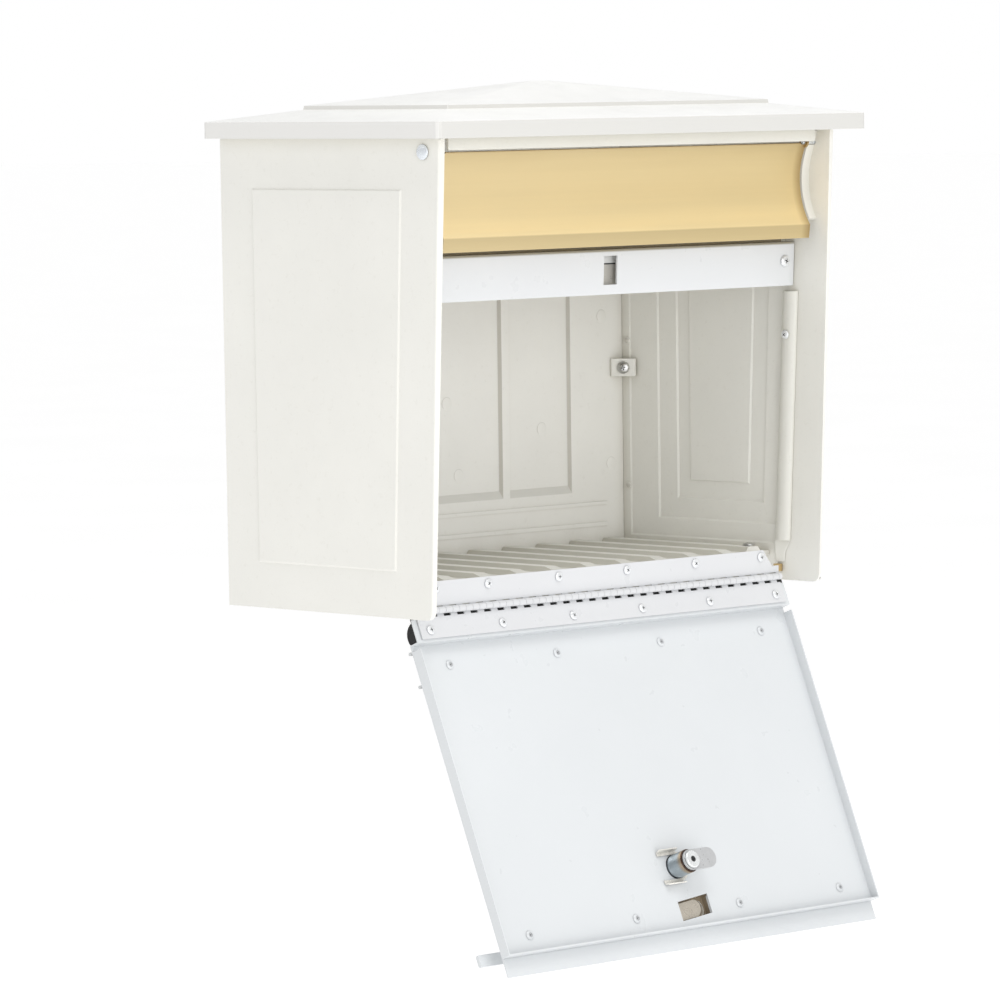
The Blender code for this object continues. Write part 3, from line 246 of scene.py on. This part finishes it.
def metal(
    name, colour, dark, roughness=0.3, brushed=(1.0, 1.0, 1.0), corner_shade=0.6, metallic=1.0, tints=(), deep=None
):
    """Plated metal: fine brushing or casting grain, dull patches, painted shade in the recesses and painted
    highlight along the edges.

    deep is the reach of a screw's cross, inside which the hollows are painted nearly black as shade.
    """
    g = Graph(name)
    duller = 0.88 + 0.1 * (1 - metallic)
    base = g.mix(g.patches(g.noise(120.0, 4.0, 0.6)), rgb(colour, duller), rgb(colour, 1.08))
    base = g.tinted(base, tints)
    # painted shade: corners turn towards the recess colour
    corners = g.span(g.occlusion(0.003), 0.2, 0.9, corner_shade, 0.0)
    base = g.mix(corners, base, rgb(dark))
    if deep:
        # painted shade: near black inside a screw's cross
        sunk = g.node("ShaderNodeMath", operation="MULTIPLY")
        g.link(g.span(g.occlusion(0.003, 12), 0.93, 0.84), sunk.inputs[0])
        g.link(g.span(g.radius(), deep * 1.15, deep), sunk.inputs[1])
        base = g.mix(sunk.outputs[0], base, rgb((20, 20, 22)))
    # painted highlight: edges lighter than the colour
    painted_edge_highlight = g.span(g.edges(0.0003), 0.0, 1.0, 0.0, 0.5)
    base = g.mix(painted_edge_highlight, base, rgb(colour, 1.3))
    gloss = g.patches(g.noise(260.0, 3.0, 0.6), roughness - 0.08, roughness + 0.12)
    g.bump([(g.noise(900.0, stretch=brushed), 0.16, 0.00006)])
    return g.finish(base, gloss, Metallic=metallic)


def gilded(name):
    """The flap: satin gold paint on rolled sheet, its grain along the roll, with painted light in its colour:
    lighter low down and darker up high, darker on the lip, along the top edge, at the right end and in
    corners, and lighter edges that are partly wear and partly painted highlight.
    """
    g = Graph(name)
    streaks = g.patches(g.noise(160.0, 3.0, 0.6, (0.02, 1.0, 1.0)))
    # painted shade: the right end's colour a little darker than the left's
    left, right = ((226, 205, 157), (222, 200, 149))
    ends = [g.mix(streaks, rgb(colour, 0.985), rgb(colour, 1.015)) for colour in (left, right)]
    base = g.mix(g.span(g.axis("X"), -0.18, 0.18), *ends)
    # painted light: brighter low down, darker up high
    painted_light_by_height = g.span(g.axis("Z"), 0.102, 0.151, 1.29, 0.78)
    # painted shade: the lip below the crease darker
    above_lip = g.node("ShaderNodeMix", data_type="FLOAT")
    g.link(g.span(g.axis("Z"), 0.0931, 0.0940), above_lip.inputs[0])
    above_lip.inputs[2].default_value = 0.86
    g.link(painted_light_by_height, above_lip.inputs[3])
    base = g.gain(base, above_lip.outputs[0])
    # painted shade: a brown line along the top edge, under the header
    top_edge = g.span(g.axis("Z"), 0.1498, 0.1512, 0.0, 0.6)
    base = g.mix(top_edge, base, rgb((150, 110, 60)))
    # painted shade: darker towards the right end beside the guard
    right_end = g.span(g.axis("X"), 0.1715, 0.1798, 0.0, 0.6)
    base = g.mix(right_end, base, rgb((140, 108, 58)))
    # painted shade in corners
    corners = g.span(g.occlusion(0.010), 0.25, 0.95, 0.55, 0.0)
    base = g.mix(corners, base, rgb((160, 124, 66)))
    # edges lighter: partly wear, partly painted highlight
    worn_and_highlit = g.span(g.edges(0.0006), 0.0, 1.0, 0.0, 0.5)
    base = g.mix(worn_and_highlit, base, rgb((244, 230, 190)))
    gloss = g.patches(g.noise(60.0, 3.0, 0.5, (0.2, 1.0, 1.0)), 0.36, 0.50)
    g.bump([(g.noise(900.0, stretch=(0.05, 1.0, 1.0)), 0.10, 0.00006), (g.noise(700.0), 0.06, 0.00008)])
    return g.finish(base, gloss, Metallic=0.55, IOR=1.45)


def rubbery(name):
    """Black rubber with a grey bloom."""
    g = Graph(name)
    base = g.mix(g.patches(g.noise(60.0, 4.0, 0.7)), rgb((17, 17, 18)), rgb((34, 34, 35)))
    bloom = g.span(g.noise(350.0, 3.0, 0.7), 0.55, 0.75, 0.0, 0.35)
    base = g.mix(bloom, base, rgb((70, 70, 70)))
    g.bump([(g.noise(1200.0, 3.0, 0.6), 0.3, 0.00012)])
    return g.finish(base, g.patches(g.noise(90.0, 3.0), 0.62, 0.85))


def ground(name):
    """The studio floor, lit a little from within so that it runs into the white behind."""
    g = Graph(name)
    base = g.mix(g.patches(g.noise(3.0, 3.0)), rgb((249, 249, 249)), rgb((252, 252, 252)))
    gloss = g.patches(g.noise(20.0), 0.75, 0.85)
    return g.finish(base, gloss, Emission_Color=(1.0, 1.0, 1.0, 1.0), Emission_Strength=0.34)


# plastics: colour, colour of the painted shade in corners, colour of the edges (partly wear, partly painted
# highlight)
BODY = moulded("body_moulding", (237, 236, 230), (204, 200, 186), (246, 246, 242))
# painted shade: faces pointing left and faces pointing up are darker, on the steps of the sunk fields
BACK = moulded(
    "back_moulding", (245, 244, 239), (206, 202, 190), (249, 249, 246),
    tints=(("facing X", -0.2, -0.45, (206, 203, 195)), ("facing Z", 0.15, 0.35, (226, 225, 219))),
)
# painted light and shade: faces pointing left darker, faces pointing right lighter, on the floor's ribs
TRAY = moulded(
    "tray_moulding", (235, 234, 228), (202, 198, 184), (242, 241, 236),
    tints=(("facing X", -0.2, -0.45, (202, 200, 190)), ("facing X", 0.2, 0.45, (238, 237, 232))),
)
HEADER = moulded("header_moulding", (225, 224, 217), (188, 184, 170), (236, 235, 230))
# painted light and shade: faces that don't point up are darker than the top, and faces pointing forward
# darker still
ROOF = moulded(
    "roof_moulding", (254, 254, 251), (222, 220, 212), (240, 240, 236), roughness=0.40,
    tints=(("facing Z", 0.35, 0.2, (231, 230, 227)), ("facing Y", -0.7, -0.9, (212, 211, 207))),
)
DARK = moulded(
    "latch_moulding", (212, 196, 172), (140, 126, 106), (226, 214, 196), roughness=0.38, mottle=0.08, peel=0.3
)
SHADE = moulded("gap_shade", (164, 154, 134), (128, 118, 98), (172, 162, 142))
# also the finish of the black strip in the crossbar's slot, which is painted shade, and of the strip behind
# the hinge's slots
BLACK = rubbery("rubber_and_gap_shade")

# coated steel: colour, colour of the painted shade in the folds
# painted light: the door's faces that point right, such as the inside of the pan's left rim, tinted cream
ENAMEL = enamelled(
    "door_enamel", (218, 221, 223), (188, 191, 194), tints=(("facing X", 0.9, 0.97, (216, 215, 205)),)
)
# painted shade under the flap's lip: the top face dark brown, and a darker band along the top of the front
BAR = enamelled(
    "crossbar_enamel", (227, 229, 231), (198, 201, 203),
    tints=(("facing Z", 0.8, 0.95, (118, 108, 88)), ("Z", 0.0788, 0.0800, (150, 142, 122))),
)
# painted shade: the dark fold colour darkens the narrow gap beside the pan
RAIL = enamelled("rail_enamel", (208, 210, 211), (110, 110, 108))
LEAF = enamelled("leaf_enamel", (217, 218, 220), (200, 203, 206))
GOLD = gilded("flap_gold")

# bare and plated metal: colour, colour of the painted shade in recesses, roughness
NICKEL = metal("nickel_plate", (196, 196, 194), (58, 55, 52), 0.26)
# painted shade: the cross recess painted nearly black
SCREW = metal("screw_plate", (236, 238, 240), (150, 152, 154), 0.28, metallic=0.35, deep=0.0019)
DOME = metal("pin_plate", (226, 231, 236), (120, 124, 128), 0.24, metallic=0.5)
RIVET = metal(
    "rivet_plate", (214, 217, 219), (120, 122, 124), 0.38, metallic=0.1,
    tints=(
        ("radius", 0.0019, 0.0015, (176, 178, 180)),
        ("radius", 0.0012, 0.0009, (212, 214, 216)),
        ("radius", 0.0007, 0.0005, (120, 120, 120)),
    ),
)
# painted shade: the plate below the slit darker
STRIKE = metal(
    "strike_zinc", (238, 238, 235), (140, 136, 128), 0.34, metallic=0.2,
    tints=(("Z", 0.0712, 0.0706, (200, 197, 190)),),
)
# painted reflection: a warm brown band partway up the barrel; painted shade: dark from about 17.7 mm up, near
# the mouth
CAST = metal(
    "lock_casting", (158, 168, 174), (42, 42, 44), 0.34, metallic=0.75,
    tints=(("Z", 0.0135, 0.0165, (160, 142, 116)), ("Z", 0.0176, 0.0178, (70, 48, 34))),
)
PLUG = metal("plug_brass", (150, 140, 122), (52, 46, 38), 0.34)
CAM = metal("cam_plate", (200, 201, 202), (112, 112, 113), 0.32, (0.15, 1.0, 1.0), metallic=0.45)
# painted shade: the cap's sunk middle nearly black
CAP = metal(
    "cap_plate", (238, 240, 240), (150, 152, 154), 0.24, metallic=0.55,
    tints=(("radius", 0.0023, 0.0020, (14, 14, 14)),),
)
CLIP = metal("clip_steel", (240, 237, 229), (96, 90, 76), 0.30, (1.0, 0.2, 1.0), corner_shade=0.75, metallic=0.3)
TONGUE = metal("catch_steel", (206, 198, 184), (104, 96, 84), 0.28, (0.2, 1.0, 1.0), metallic=0.55)
BRASS = metal("insert_brass", (190, 164, 116), (96, 74, 36), 0.34, metallic=0.4)

FLOOR = ground("studio_floor")


# ---------------------------------------------------------------- making pieces


def put(name, mesh, finish, body, nodes=(), matrix=None):
    piece = bpy.data.objects.new(name, mesh)
    LOOKS.objects.link(piece)
    if matrix is not None:
        piece.matrix_world = matrix
    if not mesh.materials:
        mesh.materials.append(finish)
    if nodes:
        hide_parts(*nodes)
    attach(piece, body)
    return piece


def as_mesh(shape, name, sharp=None):
    """A bmesh as a mesh, smooth apart from edges sharper than an angle in degrees."""
    mesh = bpy.data.meshes.new(name)
    shape.to_mesh(mesh)
    shape.free()
    if sharp is not None:
        mesh.shade_smooth()
        mesh.set_sharp_from_angle(angle=math.radians(sharp))
    return mesh


def cad_shape(node):
    """A CAD node's surface as a bmesh, its flat faces whole again."""
    shape = bmesh.new()
    shape.from_mesh(NODES[node].data)
    bmesh.ops.remove_doubles(shape, verts=shape.verts, dist=2e-6)
    bmesh.ops.dissolve_limit(
        shape, angle_limit=math.radians(0.5), verts=shape.verts, edges=shape.edges
    )
    return shape


def rounded(node, body, finish, width, segments=2, sharper=28, limit=55, shaped=None):
    """A CAD node with its edges rounded over, after any reshaping."""
    shape = cad_shape(node)
    if shaped:
        shaped(shape)
    if width:
        edges = [
            edge
            for edge in shape.edges
            if len(edge.link_faces) == 2 and edge.calc_face_angle(0) > math.radians(sharper)
        ]
        bmesh.ops.bevel(
            shape,
            geom=edges,
            offset=width * MM,
            segments=segments,
            profile=0.6,
            affect="EDGES",
            clamp_overlap=True,
        )
    piece = put(node + "_look", as_mesh(shape, node + "_look", limit), finish, body, [node])
    weigh = piece.modifiers.new("weighted", "WEIGHTED_NORMAL")
    weigh.keep_sharp = True
    weigh.weight = 80


def spun(name, profile, steps=40, limit=32):
    """A turned mesh about Z from (radius, height) points, from the top down."""
    shape = bmesh.new()
    rings = []
    for radius, height in profile:
        if radius < 1e-6:
            rings.append([shape.verts.new((0, 0, height * MM))])
            continue
        angles = [math.tau * step / steps for step in range(steps)]
        ring = [(radius * math.cos(a), radius * math.sin(a)) for a in angles]
        rings.append([shape.verts.new((x * MM, y * MM, height * MM)) for x, y in ring])
    for above, below in zip(rings, rings[1:]):
        for step in range(steps):
            other = (step + 1) % steps
            if len(above) == 1 and len(below) == 1:
                continue
            if len(above) == 1:
                shape.faces.new((above[0], below[step], below[other]))
            elif len(below) == 1:
                shape.faces.new((above[step], below[0], above[other]))
            else:
                shape.faces.new((above[step], below[step], below[other], above[other]))
    bmesh.ops.recalc_face_normals(shape, faces=shape.faces)
    return as_mesh(shape, name, limit)


def block(name, low, high, finish, body, matrix, round_by=0.0):
    """A small block between two corners, its edges rounded by a radius."""
    shape = bmesh.new()
    bmesh.ops.create_cube(shape, size=1.0)
    for vert in shape.verts:
        vert.co = Vector([(low[i] + high[i]) / 2 + vert.co[i] * (high[i] - low[i]) for i in range(3)]) * MM
    if round_by:
        bmesh.ops.bevel(
            shape, geom=shape.edges[:], offset=round_by * MM, segments=2, profile=0.5, affect="EDGES"
        )
    put(name, as_mesh(shape, name, 40), finish, body, (), matrix)


def cut(mesh, tool):
    """Cut one mesh from another and give back the result."""
    whole = bpy.data.objects.new("whole", mesh)
    taken = bpy.data.objects.new("tool", tool)
    for each in (whole, taken):
        SCENE.collection.objects.link(each)
    modifier = whole.modifiers.new("cut", "BOOLEAN")
    modifier.operation, modifier.solver, modifier.object = "DIFFERENCE", "EXACT", taken
    bpy.context.view_layer.update()
    graph = bpy.context.evaluated_depsgraph_get()
    made = bpy.data.meshes.new_from_object(whole.evaluated_get(graph))
    for each in (whole, taken):
        bpy.data.objects.remove(each)
    made.set_sharp_from_angle(angle=math.radians(32))
    return made


# ---------------------------------------------------------------- turned pieces

SHANK = 1.55  # radius of a screw, a rivet or a pin under its head
MADE = {}  # turned meshes already made, by kind and size


def cross_recess(size, top, deep):
    """The tapered cross of a Phillips driver, as one closed shape."""
    shape = bmesh.new()
    rings = []
    for reach, wide, z in ((size, size * 0.19, top + 0.3), (size * 0.42, size * 0.12, top - deep)):
        corners = []
        for quarter in range(4):
            turn = Matrix.Rotation(quarter * math.pi / 2, 2)
            for x, y in ((wide, -wide), (reach, -wide), (reach, wide)):
                corners.append(turn @ Vector((x, y)))
        rings.append([shape.verts.new((p.x * MM, p.y * MM, z * MM)) for p in corners])
    shape.faces.new(rings[0])
    shape.faces.new(rings[1][::-1])
    for step, corner in enumerate(rings[0]):
        other = (step + 1) % len(rings[0])
        shape.faces.new((corner, rings[1][step], rings[1][other], rings[0][other]))
    bmesh.ops.recalc_face_normals(shape, faces=shape.faces)
    return as_mesh(shape, "recess")


def dome(radius, height, parts=7):
    """Points of a low dome from its crown down to its rim."""
    points = [(0.0, height)]
    for part in range(1, parts + 1):
        angle = part / parts * math.pi / 2
        points.append((radius * math.sin(angle), height * (0.22 + 0.78 * math.cos(angle))))
    points.append((radius, 0.0))
    return points


def screw_mesh(radius, height, length):
    """A domed screw with a cross recess and a thread of rings."""
    key = (round(radius, 2), round(height, 2), round(length, 1))
    if key not in MADE:
        root, point, pitch, first = 1.25, 0.9, 1.0, -0.6
        profile = dome(radius, height) + [(SHANK, 0.0)]
        turns = max(1, int((length - pitch) / pitch))
        for turn in range(turns):
            z = first - turn * (length - pitch) / turns
            profile += [(SHANK, z), (root, z - 0.35)]
        profile += [(point, -length + 0.25), (0.0, -length)]
        recess = cross_recess(radius * 0.5, height, min(height * 0.75, 1.5))
        mesh = cut(spun("screw", profile, 32), recess)
        mesh.name = "screw"
        MADE[key] = mesh
    return MADE[key]


def rivet_mesh(radius, height, length):
    """A blind rivet: low ring head with the mandrel's hollow, a clinched head on the far side."""
    key = ("rivet", round(length, 1))
    if key not in MADE:
        hollow, shank, parts = 1.05, 1.5, 6
        profile = [(0.0, height * 0.55), (0.85, height * 0.5), (hollow, height * 0.98)]
        for part in range(1, parts + 1):
            angle = part / parts * math.pi / 2
            drop = 0.10 + 0.88 * math.cos(angle) ** 2
            profile.append((hollow + (radius - hollow) * math.sin(angle), height * drop))
        profile += [(radius, 0.0), (shank, 0.0), (shank, 1.1 - length), (2.7, 1.1 - length)]
        profile += [(2.8, 0.8 - length), (2.3, 0.25 - length), (1.2, -length), (0.0, -length)]
        MADE[key] = spun("rivet", profile, 32)
    return MADE[key]


def pin_mesh(radius, height, length):
    """A plain pin with a domed head."""
    key = ("pin", round(length, 1))
    if key not in MADE:
        profile = dome(radius, height, 9)
        profile += [(SHANK, 0.0), (SHANK, 0.5 - length), (1.2, -length), (0.0, -length)]
        MADE[key] = spun("pin", profile, 48)
    return MADE[key]


def cap_mesh(radius, height, length):
    """The cam's screw: a flat cap with a round edge and a sunk middle."""
    shank, edge, parts = 1.2, 1.0, 5
    profile = [(0.0, height - 1.1), (1.9, height - 1.1), (2.15, height - 0.15), (2.4, height)]
    for part in range(parts + 1):
        angle = part / parts * math.pi / 2
        profile.append((radius - edge + math.sin(angle), height - edge + math.cos(angle)))
    profile += [(radius, 0.0), (shank, 0.0), (shank, 0.3 - length), (0.9, -length), (0.0, -length)]
    return spun("cap", profile, 40)


def barrel_mesh(top):
    """The lock's barrel: a mouth at its top, rings down its side and a flange at its foot."""
    bore, barrel, rim, groove, pitch = 5.8, 8.3, 11.0, 0.45, 0.95
    profile = [(bore, top), (6.5, top), (6.9, top - 0.25), (7.5, top - 0.25), (7.8, top - 0.6)]
    z = top - 0.9
    while z > 5.2:
        profile += [(barrel, z), (barrel, z - 0.25), (barrel - groove, z - 0.6)]
        z -= pitch
    profile += [(barrel - 0.4, 2.4), (rim, 2.2), (rim, 1.2), (rim - 0.3, 0.7), (rim - 1.0, 0.15)]
    profile += [(rim - 1.6, 0.0), (bore, 0.0), (bore, top)]
    return spun("lock_body_look", profile, 56, 40)


def seated(node, outward):
    """Where a turned CAD node sits: its frame with Z outward, its extents and points in it (metres)."""
    z = Vector(outward).normalized()
    x = Vector((1, 0, 0)) if abs(z.x) < 0.9 else Vector((0, 1, 0))
    y = z.cross(x).normalized()
    x = y.cross(z).normalized()
    turn = Matrix((x, y, z)).transposed()
    local = [turn.transposed() @ vert.co for vert in NODES[node].data.vertices]
    low = Vector([min(p[i] for p in local) for i in range(3)])
    high = Vector([max(p[i] for p in local) for i in range(3)])
    return turn, low, high, local


def headed(node, outward, body, finish, maker, spin=0.0):
    """A turned piece at a CAD node's place: maker(radius, height, length) gives its mesh."""
    turn, low, high, local = seated(node, outward)
    centre = (low + high) / 2
    radius = (high.x - low.x) / 2
    rim = [p.z for p in local if math.hypot(p.x - centre.x, p.y - centre.y) > radius * 0.92]
    tallest_head = 3.2 * MM
    seat = min(level for level in rim if level > high.z - tallest_head)
    mesh = maker(radius / MM, (high.z - seat) / MM, (seat - low.z) / MM)
    place = Matrix.Translation(turn @ Vector((centre.x, centre.y, seat)))
    matrix = place @ (turn @ Matrix.Rotation(spin, 3, "Z")).to_4x4()
    put(node + "_look", mesh, finish, body, [node], matrix)


# ---------------------------------------------------------------- the mailbox

# the door's own directions: inward is the normal of its inner face, along runs from hinge to free end
INWARD = -Vector(JOINTS["lock_turn"]["axis"]).normalized()
ALONG = Vector((1, 0, 0)).cross(INWARD).normalized()
DOOR = Matrix((Vector((1, 0, 0)), INWARD, ALONG)).transposed().to_4x4()
DOOR.translation = Vector(JOINTS["door_hinge"]["pos_m"])

SIDES = (("left", -1), ("right", 1))
WALL_INNER = 188.9  # inner face of a side wall, from the middle
BACK_INNER = 206.5  # inner face of the back panel
FIELD_DEPTH = 2.5  # how far the fields of the back panel are sunk
FIELD_REACH = 135.0  # how far the fields run to each side
MARKS = ((11.9, 129.3), (107.1, 106.6), (22.9, 77.4), (167.2, 185.9), (175.9, 78.2))  # (x, level)
INSERT_INNER = 184.6  # inner end of a brass insert, from the middle
STUD_BACK = 201.0  # how far back the wall studs are
STUD_LEVELS = (("low", 62.0), ("high", 168.0))
CORNER_OUT, CORNER_FORWARD = 0.7359, -0.6771  # the way a corner screw's head points
TURN_STEP = 1.1  # radians from one screw's cross to the next


def ramped(shape):
    """The ribs of the floor run down to the apron instead of ending in a step."""
    ramp_top, ramp_foot, apron = 61.0, 46.5, 20.8
    everything = shape.verts[:] + shape.edges[:] + shape.faces[:]
    top = (0, (ramp_top + HOME.y) * MM, 0)
    bmesh.ops.bisect_plane(shape, geom=everything, plane_co=top, plane_no=(0, 1, 0))
    for vert in shape.verts:
        if vert.co.y < (ramp_foot + HOME.y) * MM and vert.co.z > (apron + HOME.z) * MM:
            vert.co.z = (apron + HOME.z) * MM


def body_pieces():
    for side in ("left", "right"):
        rounded(f"side_panel_{side}", "box", BODY, 0.5)
        rounded(f"jamb_rail_{side}", "box", HEADER, 0.3, sharper=60)
        rounded(f"corner_bracket_{side}", "box", BODY, 0.4)
    rounded("back_panel", "box", BACK, 0.3, sharper=20, limit=20)
    rounded("floor_tray", "box", TRAY, 0.4, sharper=20, limit=30, shaped=ramped)
    rounded("roof_cap", "box", ROOF, 0.7, 3, sharper=20)
    rounded("header_rail", "box", HEADER, 0.25)
    rounded("crossbar", "box", BAR, 0.35)
    rounded("strike_plate", "box", STRIKE, 0.2)


def screws():
    """Every screw, its cross turned a little further than the one before."""
    spin = 0.4
    for side, sign in (("left", 1), ("right", -1)):
        rows = (
            (f"crossbar_screw_{side}", (0, -1, 0), SCREW),
            (f"jamb_screw_{side}", (sign, 0, 0), SCREW),
            (f"corner_screw_{side}", (sign * CORNER_OUT, CORNER_FORWARD, 0), NICKEL),
            (f"floor_screw_{side}", (0, 0, 1), NICKEL),
        )
        for node, outward, plate in rows:
            spin += TURN_STEP
            headed(node, outward, "box", plate, screw_mesh, spin)
    for index in range(1, 7):
        spin += TURN_STEP
        headed(f"upper_leaf_screw_{index}", (0, -1, 0), "box", SCREW, screw_mesh, spin)
        headed(f"lower_leaf_screw_{index}", INWARD, "door", SCREW, screw_mesh, spin * 1.7)


def hinge():
    rounded("hinge_upper_leaf", "box", LEAF, 0, limit=48)
    rounded("hinge_lower_leaf", "door", LEAF, 0, limit=48)
    rounded("hinge_pin", "box", NICKEL, 0)


def door():
    rounded("door_pan", "door", ENAMEL, 0.25)
    rounded("door_rail_lower", "door", RAIL, 0.25)
    rounded("door_rail_upper", "door", ENAMEL, 0.25)
    rounded("pull_bar", "door", ENAMEL, 0.4)
    rounded("bumper_strip", "door", BLACK, 0.3, sharper=45)
    rounded("latch_housing", "door", DARK, 0.3)
    rounded("latch_spring", "door", CLIP, 0)
    rounded("latch_tongue", "catch", TONGUE, 0.25, sharper=50)
    rounded("lock_clip", "door", CLIP, 0.15, sharper=50)


def heads():
    for index in range(1, 9):
        headed(f"door_rivet_{index}", INWARD, "door", RIVET, rivet_mesh)
    for side, sign in SIDES:
        headed(f"flap_pin_{side}", (sign, 0, 0), "box", DOME, pin_mesh)


def lock():
    turn, low, high, _ = seated("lock_body", INWARD)
    foot = turn @ Vector(((low.x + high.x) / 2, (low.y + high.y) / 2, low.z))
    at = Matrix.Translation(foot) @ turn.to_4x4()
    put("lock_body_look", barrel_mesh((high.z - low.z) / MM), CAST, "door", ["lock_body"], at)
    rounded("lock_plug", "lock", PLUG, 0, limit=35)
    rounded("lock_cam", "lock", CAM, 0.2, sharper=50)
    headed("cam_screw", INWARD, "lock", CAP, cap_mesh)


def wall_fittings():
    """On each side wall, a brass block by the end of the hinge and two studs beside the back."""
    for side, sign in SIDES:
        near, far = sorted((sign * INSERT_INNER, sign * WALL_INNER))
        low, high = (near, 49.0, 6.2), (far, 54.4, 11.6)
        block(f"hinge_insert_{side}", low, high, BRASS, "box", AT_HOME, 0.5)
        for place, level in STUD_LEVELS:
            stud = spun(f"stud_{side}_{place}", dome(2.3, 1.7) + [(2.3, -0.4), (0.0, -0.4)], 24)
            at = AT_HOME @ Matrix.Translation(Vector((sign * WALL_INNER, STUD_BACK, level)) * MM)
            at = at @ Matrix.Rotation(-sign * math.pi / 2, 4, "Y")
            put(stud.name, stud, BACK, "box", (), at)


def moulding_marks():
    """Faint round marks that the mould left on the back panel."""
    profile = [(0.0, 0.22), (4.4, 0.22), (4.9, 0.0), (4.9, -0.2), (0.0, -0.2)]
    for index, (x, level) in enumerate(MARKS, 1):
        face = BACK_INNER + (FIELD_DEPTH if x < FIELD_REACH else 0.0)
        at = AT_HOME @ Matrix.Translation(Vector((x, face, level)) * MM)
        at = at @ Matrix.Rotation(math.pi / 2, 4, "X")
        put(f"mark_{index}", spun(f"mark_{index}", profile, 32), BACK, "box", (), at)


def gap_strips():
    """Strips behind the flap's lip and the crossbar's slot, which are painted shade in those gaps, and a
    black strip behind the hinge's slots for the dark dashes there.
    """
    block("lip_gap", (-182.0, 41.2, 240.4), (182.0, 41.5, 243.9), SHADE, "box", AT_HOME)
    block("slot_gap", (-12.0, 41.45, 230.7), (16.0, 41.7, 232.0), BLACK, "box", AT_HOME)
    block("hinge_slot_dark_strip", (-182.6, -3.35, 1.7), (182.6, -2.6, 4.2), BLACK, "door", DOOR)


body_pieces()
screws()
hinge()
door()
heads()
lock()
rounded("mail_flap", "flap", GOLD, 0.15, sharper=50)
wall_fittings()
moulding_marks()
gap_strips()


# ---------------------------------------------------------------- camera, light and floor

CAMERA_PLACE = (-2.9649, -3.0789, 0.2056)  # metres
CAMERA_TURNS = (44.60024, 4.09029, -0.72550)  # degrees to the right, downwards, and of roll
SENSOR = 36.0
LENS = 216.93
WHITE = (1.0, 1.0, 1.0, 1.0)
WORLD_LIGHT = 0.68
FLOOR_DROP = 0.35  # metres from the lowest point of the mailbox to the floor
FLOOR_RINGS = (0.0, 4000.0, 60000.0)


def photo_camera():
    camera = bpy.data.objects.new("camera", bpy.data.cameras.new("camera"))
    SCENE.collection.objects.link(camera)
    SCENE.camera = camera
    yaw, pitch, roll = (math.radians(angle) for angle in CAMERA_TURNS)
    ahead = Vector((math.sin(yaw) * math.cos(pitch), math.cos(yaw) * math.cos(pitch), -math.sin(pitch)))
    right = Vector((math.cos(yaw), -math.sin(yaw), 0))
    up = right.cross(ahead)
    across = math.cos(roll) * right + math.sin(roll) * up
    upward = -math.sin(roll) * right + math.cos(roll) * up
    turn = Matrix((across, upward, -ahead)).transposed().to_4x4()
    camera.matrix_world = Matrix.Translation(CAMERA_PLACE) @ turn
    camera.data.sensor_width = SENSOR
    camera.data.lens = LENS


def studio():
    """A soft grey light from all round, which the camera sees as white."""
    world = bpy.data.worlds.new("studio")
    SCENE.world = world
    world.use_nodes = True
    tree = world.node_tree
    seen_by_light = tree.nodes["Background"]
    seen_by_camera = tree.nodes.new("ShaderNodeBackground")
    for background in (seen_by_light, seen_by_camera):
        background.inputs["Color"].default_value = WHITE
    seen_by_light.inputs["Strength"].default_value = WORLD_LIGHT
    either = tree.nodes.new("ShaderNodeMixShader")
    path = tree.nodes.new("ShaderNodeLightPath")
    tree.links.new(path.outputs["Is Camera Ray"], either.inputs[0])
    tree.links.new(seen_by_light.outputs[0], either.inputs[1])
    tree.links.new(seen_by_camera.outputs[0], either.inputs[2])
    tree.links.new(either.outputs[0], tree.nodes["World Output"].inputs["Surface"])
    SCENE.view_settings.view_transform = "Standard"
    SCENE.view_settings.look = "None"


def soft_light(name, place, aim, size, power):
    """A square area light: place, aim and size in metres, power in watts."""
    light = bpy.data.lights.new(name, "AREA")
    light.shape = "RECTANGLE"
    light.size, light.size_y = size, size
    light.energy = power
    lamp = bpy.data.objects.new(name, light)
    SCENE.collection.objects.link(lamp)
    lamp.location = place
    lamp.rotation_mode = "QUATERNION"
    lamp.rotation_quaternion = (Vector(aim) - Vector(place)).to_track_quat("-Z", "Y")


def studio_floor():
    mesh = spun("floor", [(radius, 0.0) for radius in FLOOR_RINGS], 96)
    mesh.materials.append(FLOOR)
    floor = bpy.data.objects.new("floor", mesh)
    LOOKS.objects.link(floor)
    floor.location = (0.0, 0.0, CAD_BOX[0].z - FLOOR_DROP)


photo_camera()
studio()
middle = (CAD_BOX[0] + CAD_BOX[1]) / 2
soft_light("overhead", (-0.4, -1.2, 2.6), middle, 1.8, 30.0)
soft_light("front", (-0.9, -2.9, 0.25), middle, 1.6, 19.0)
studio_floor()
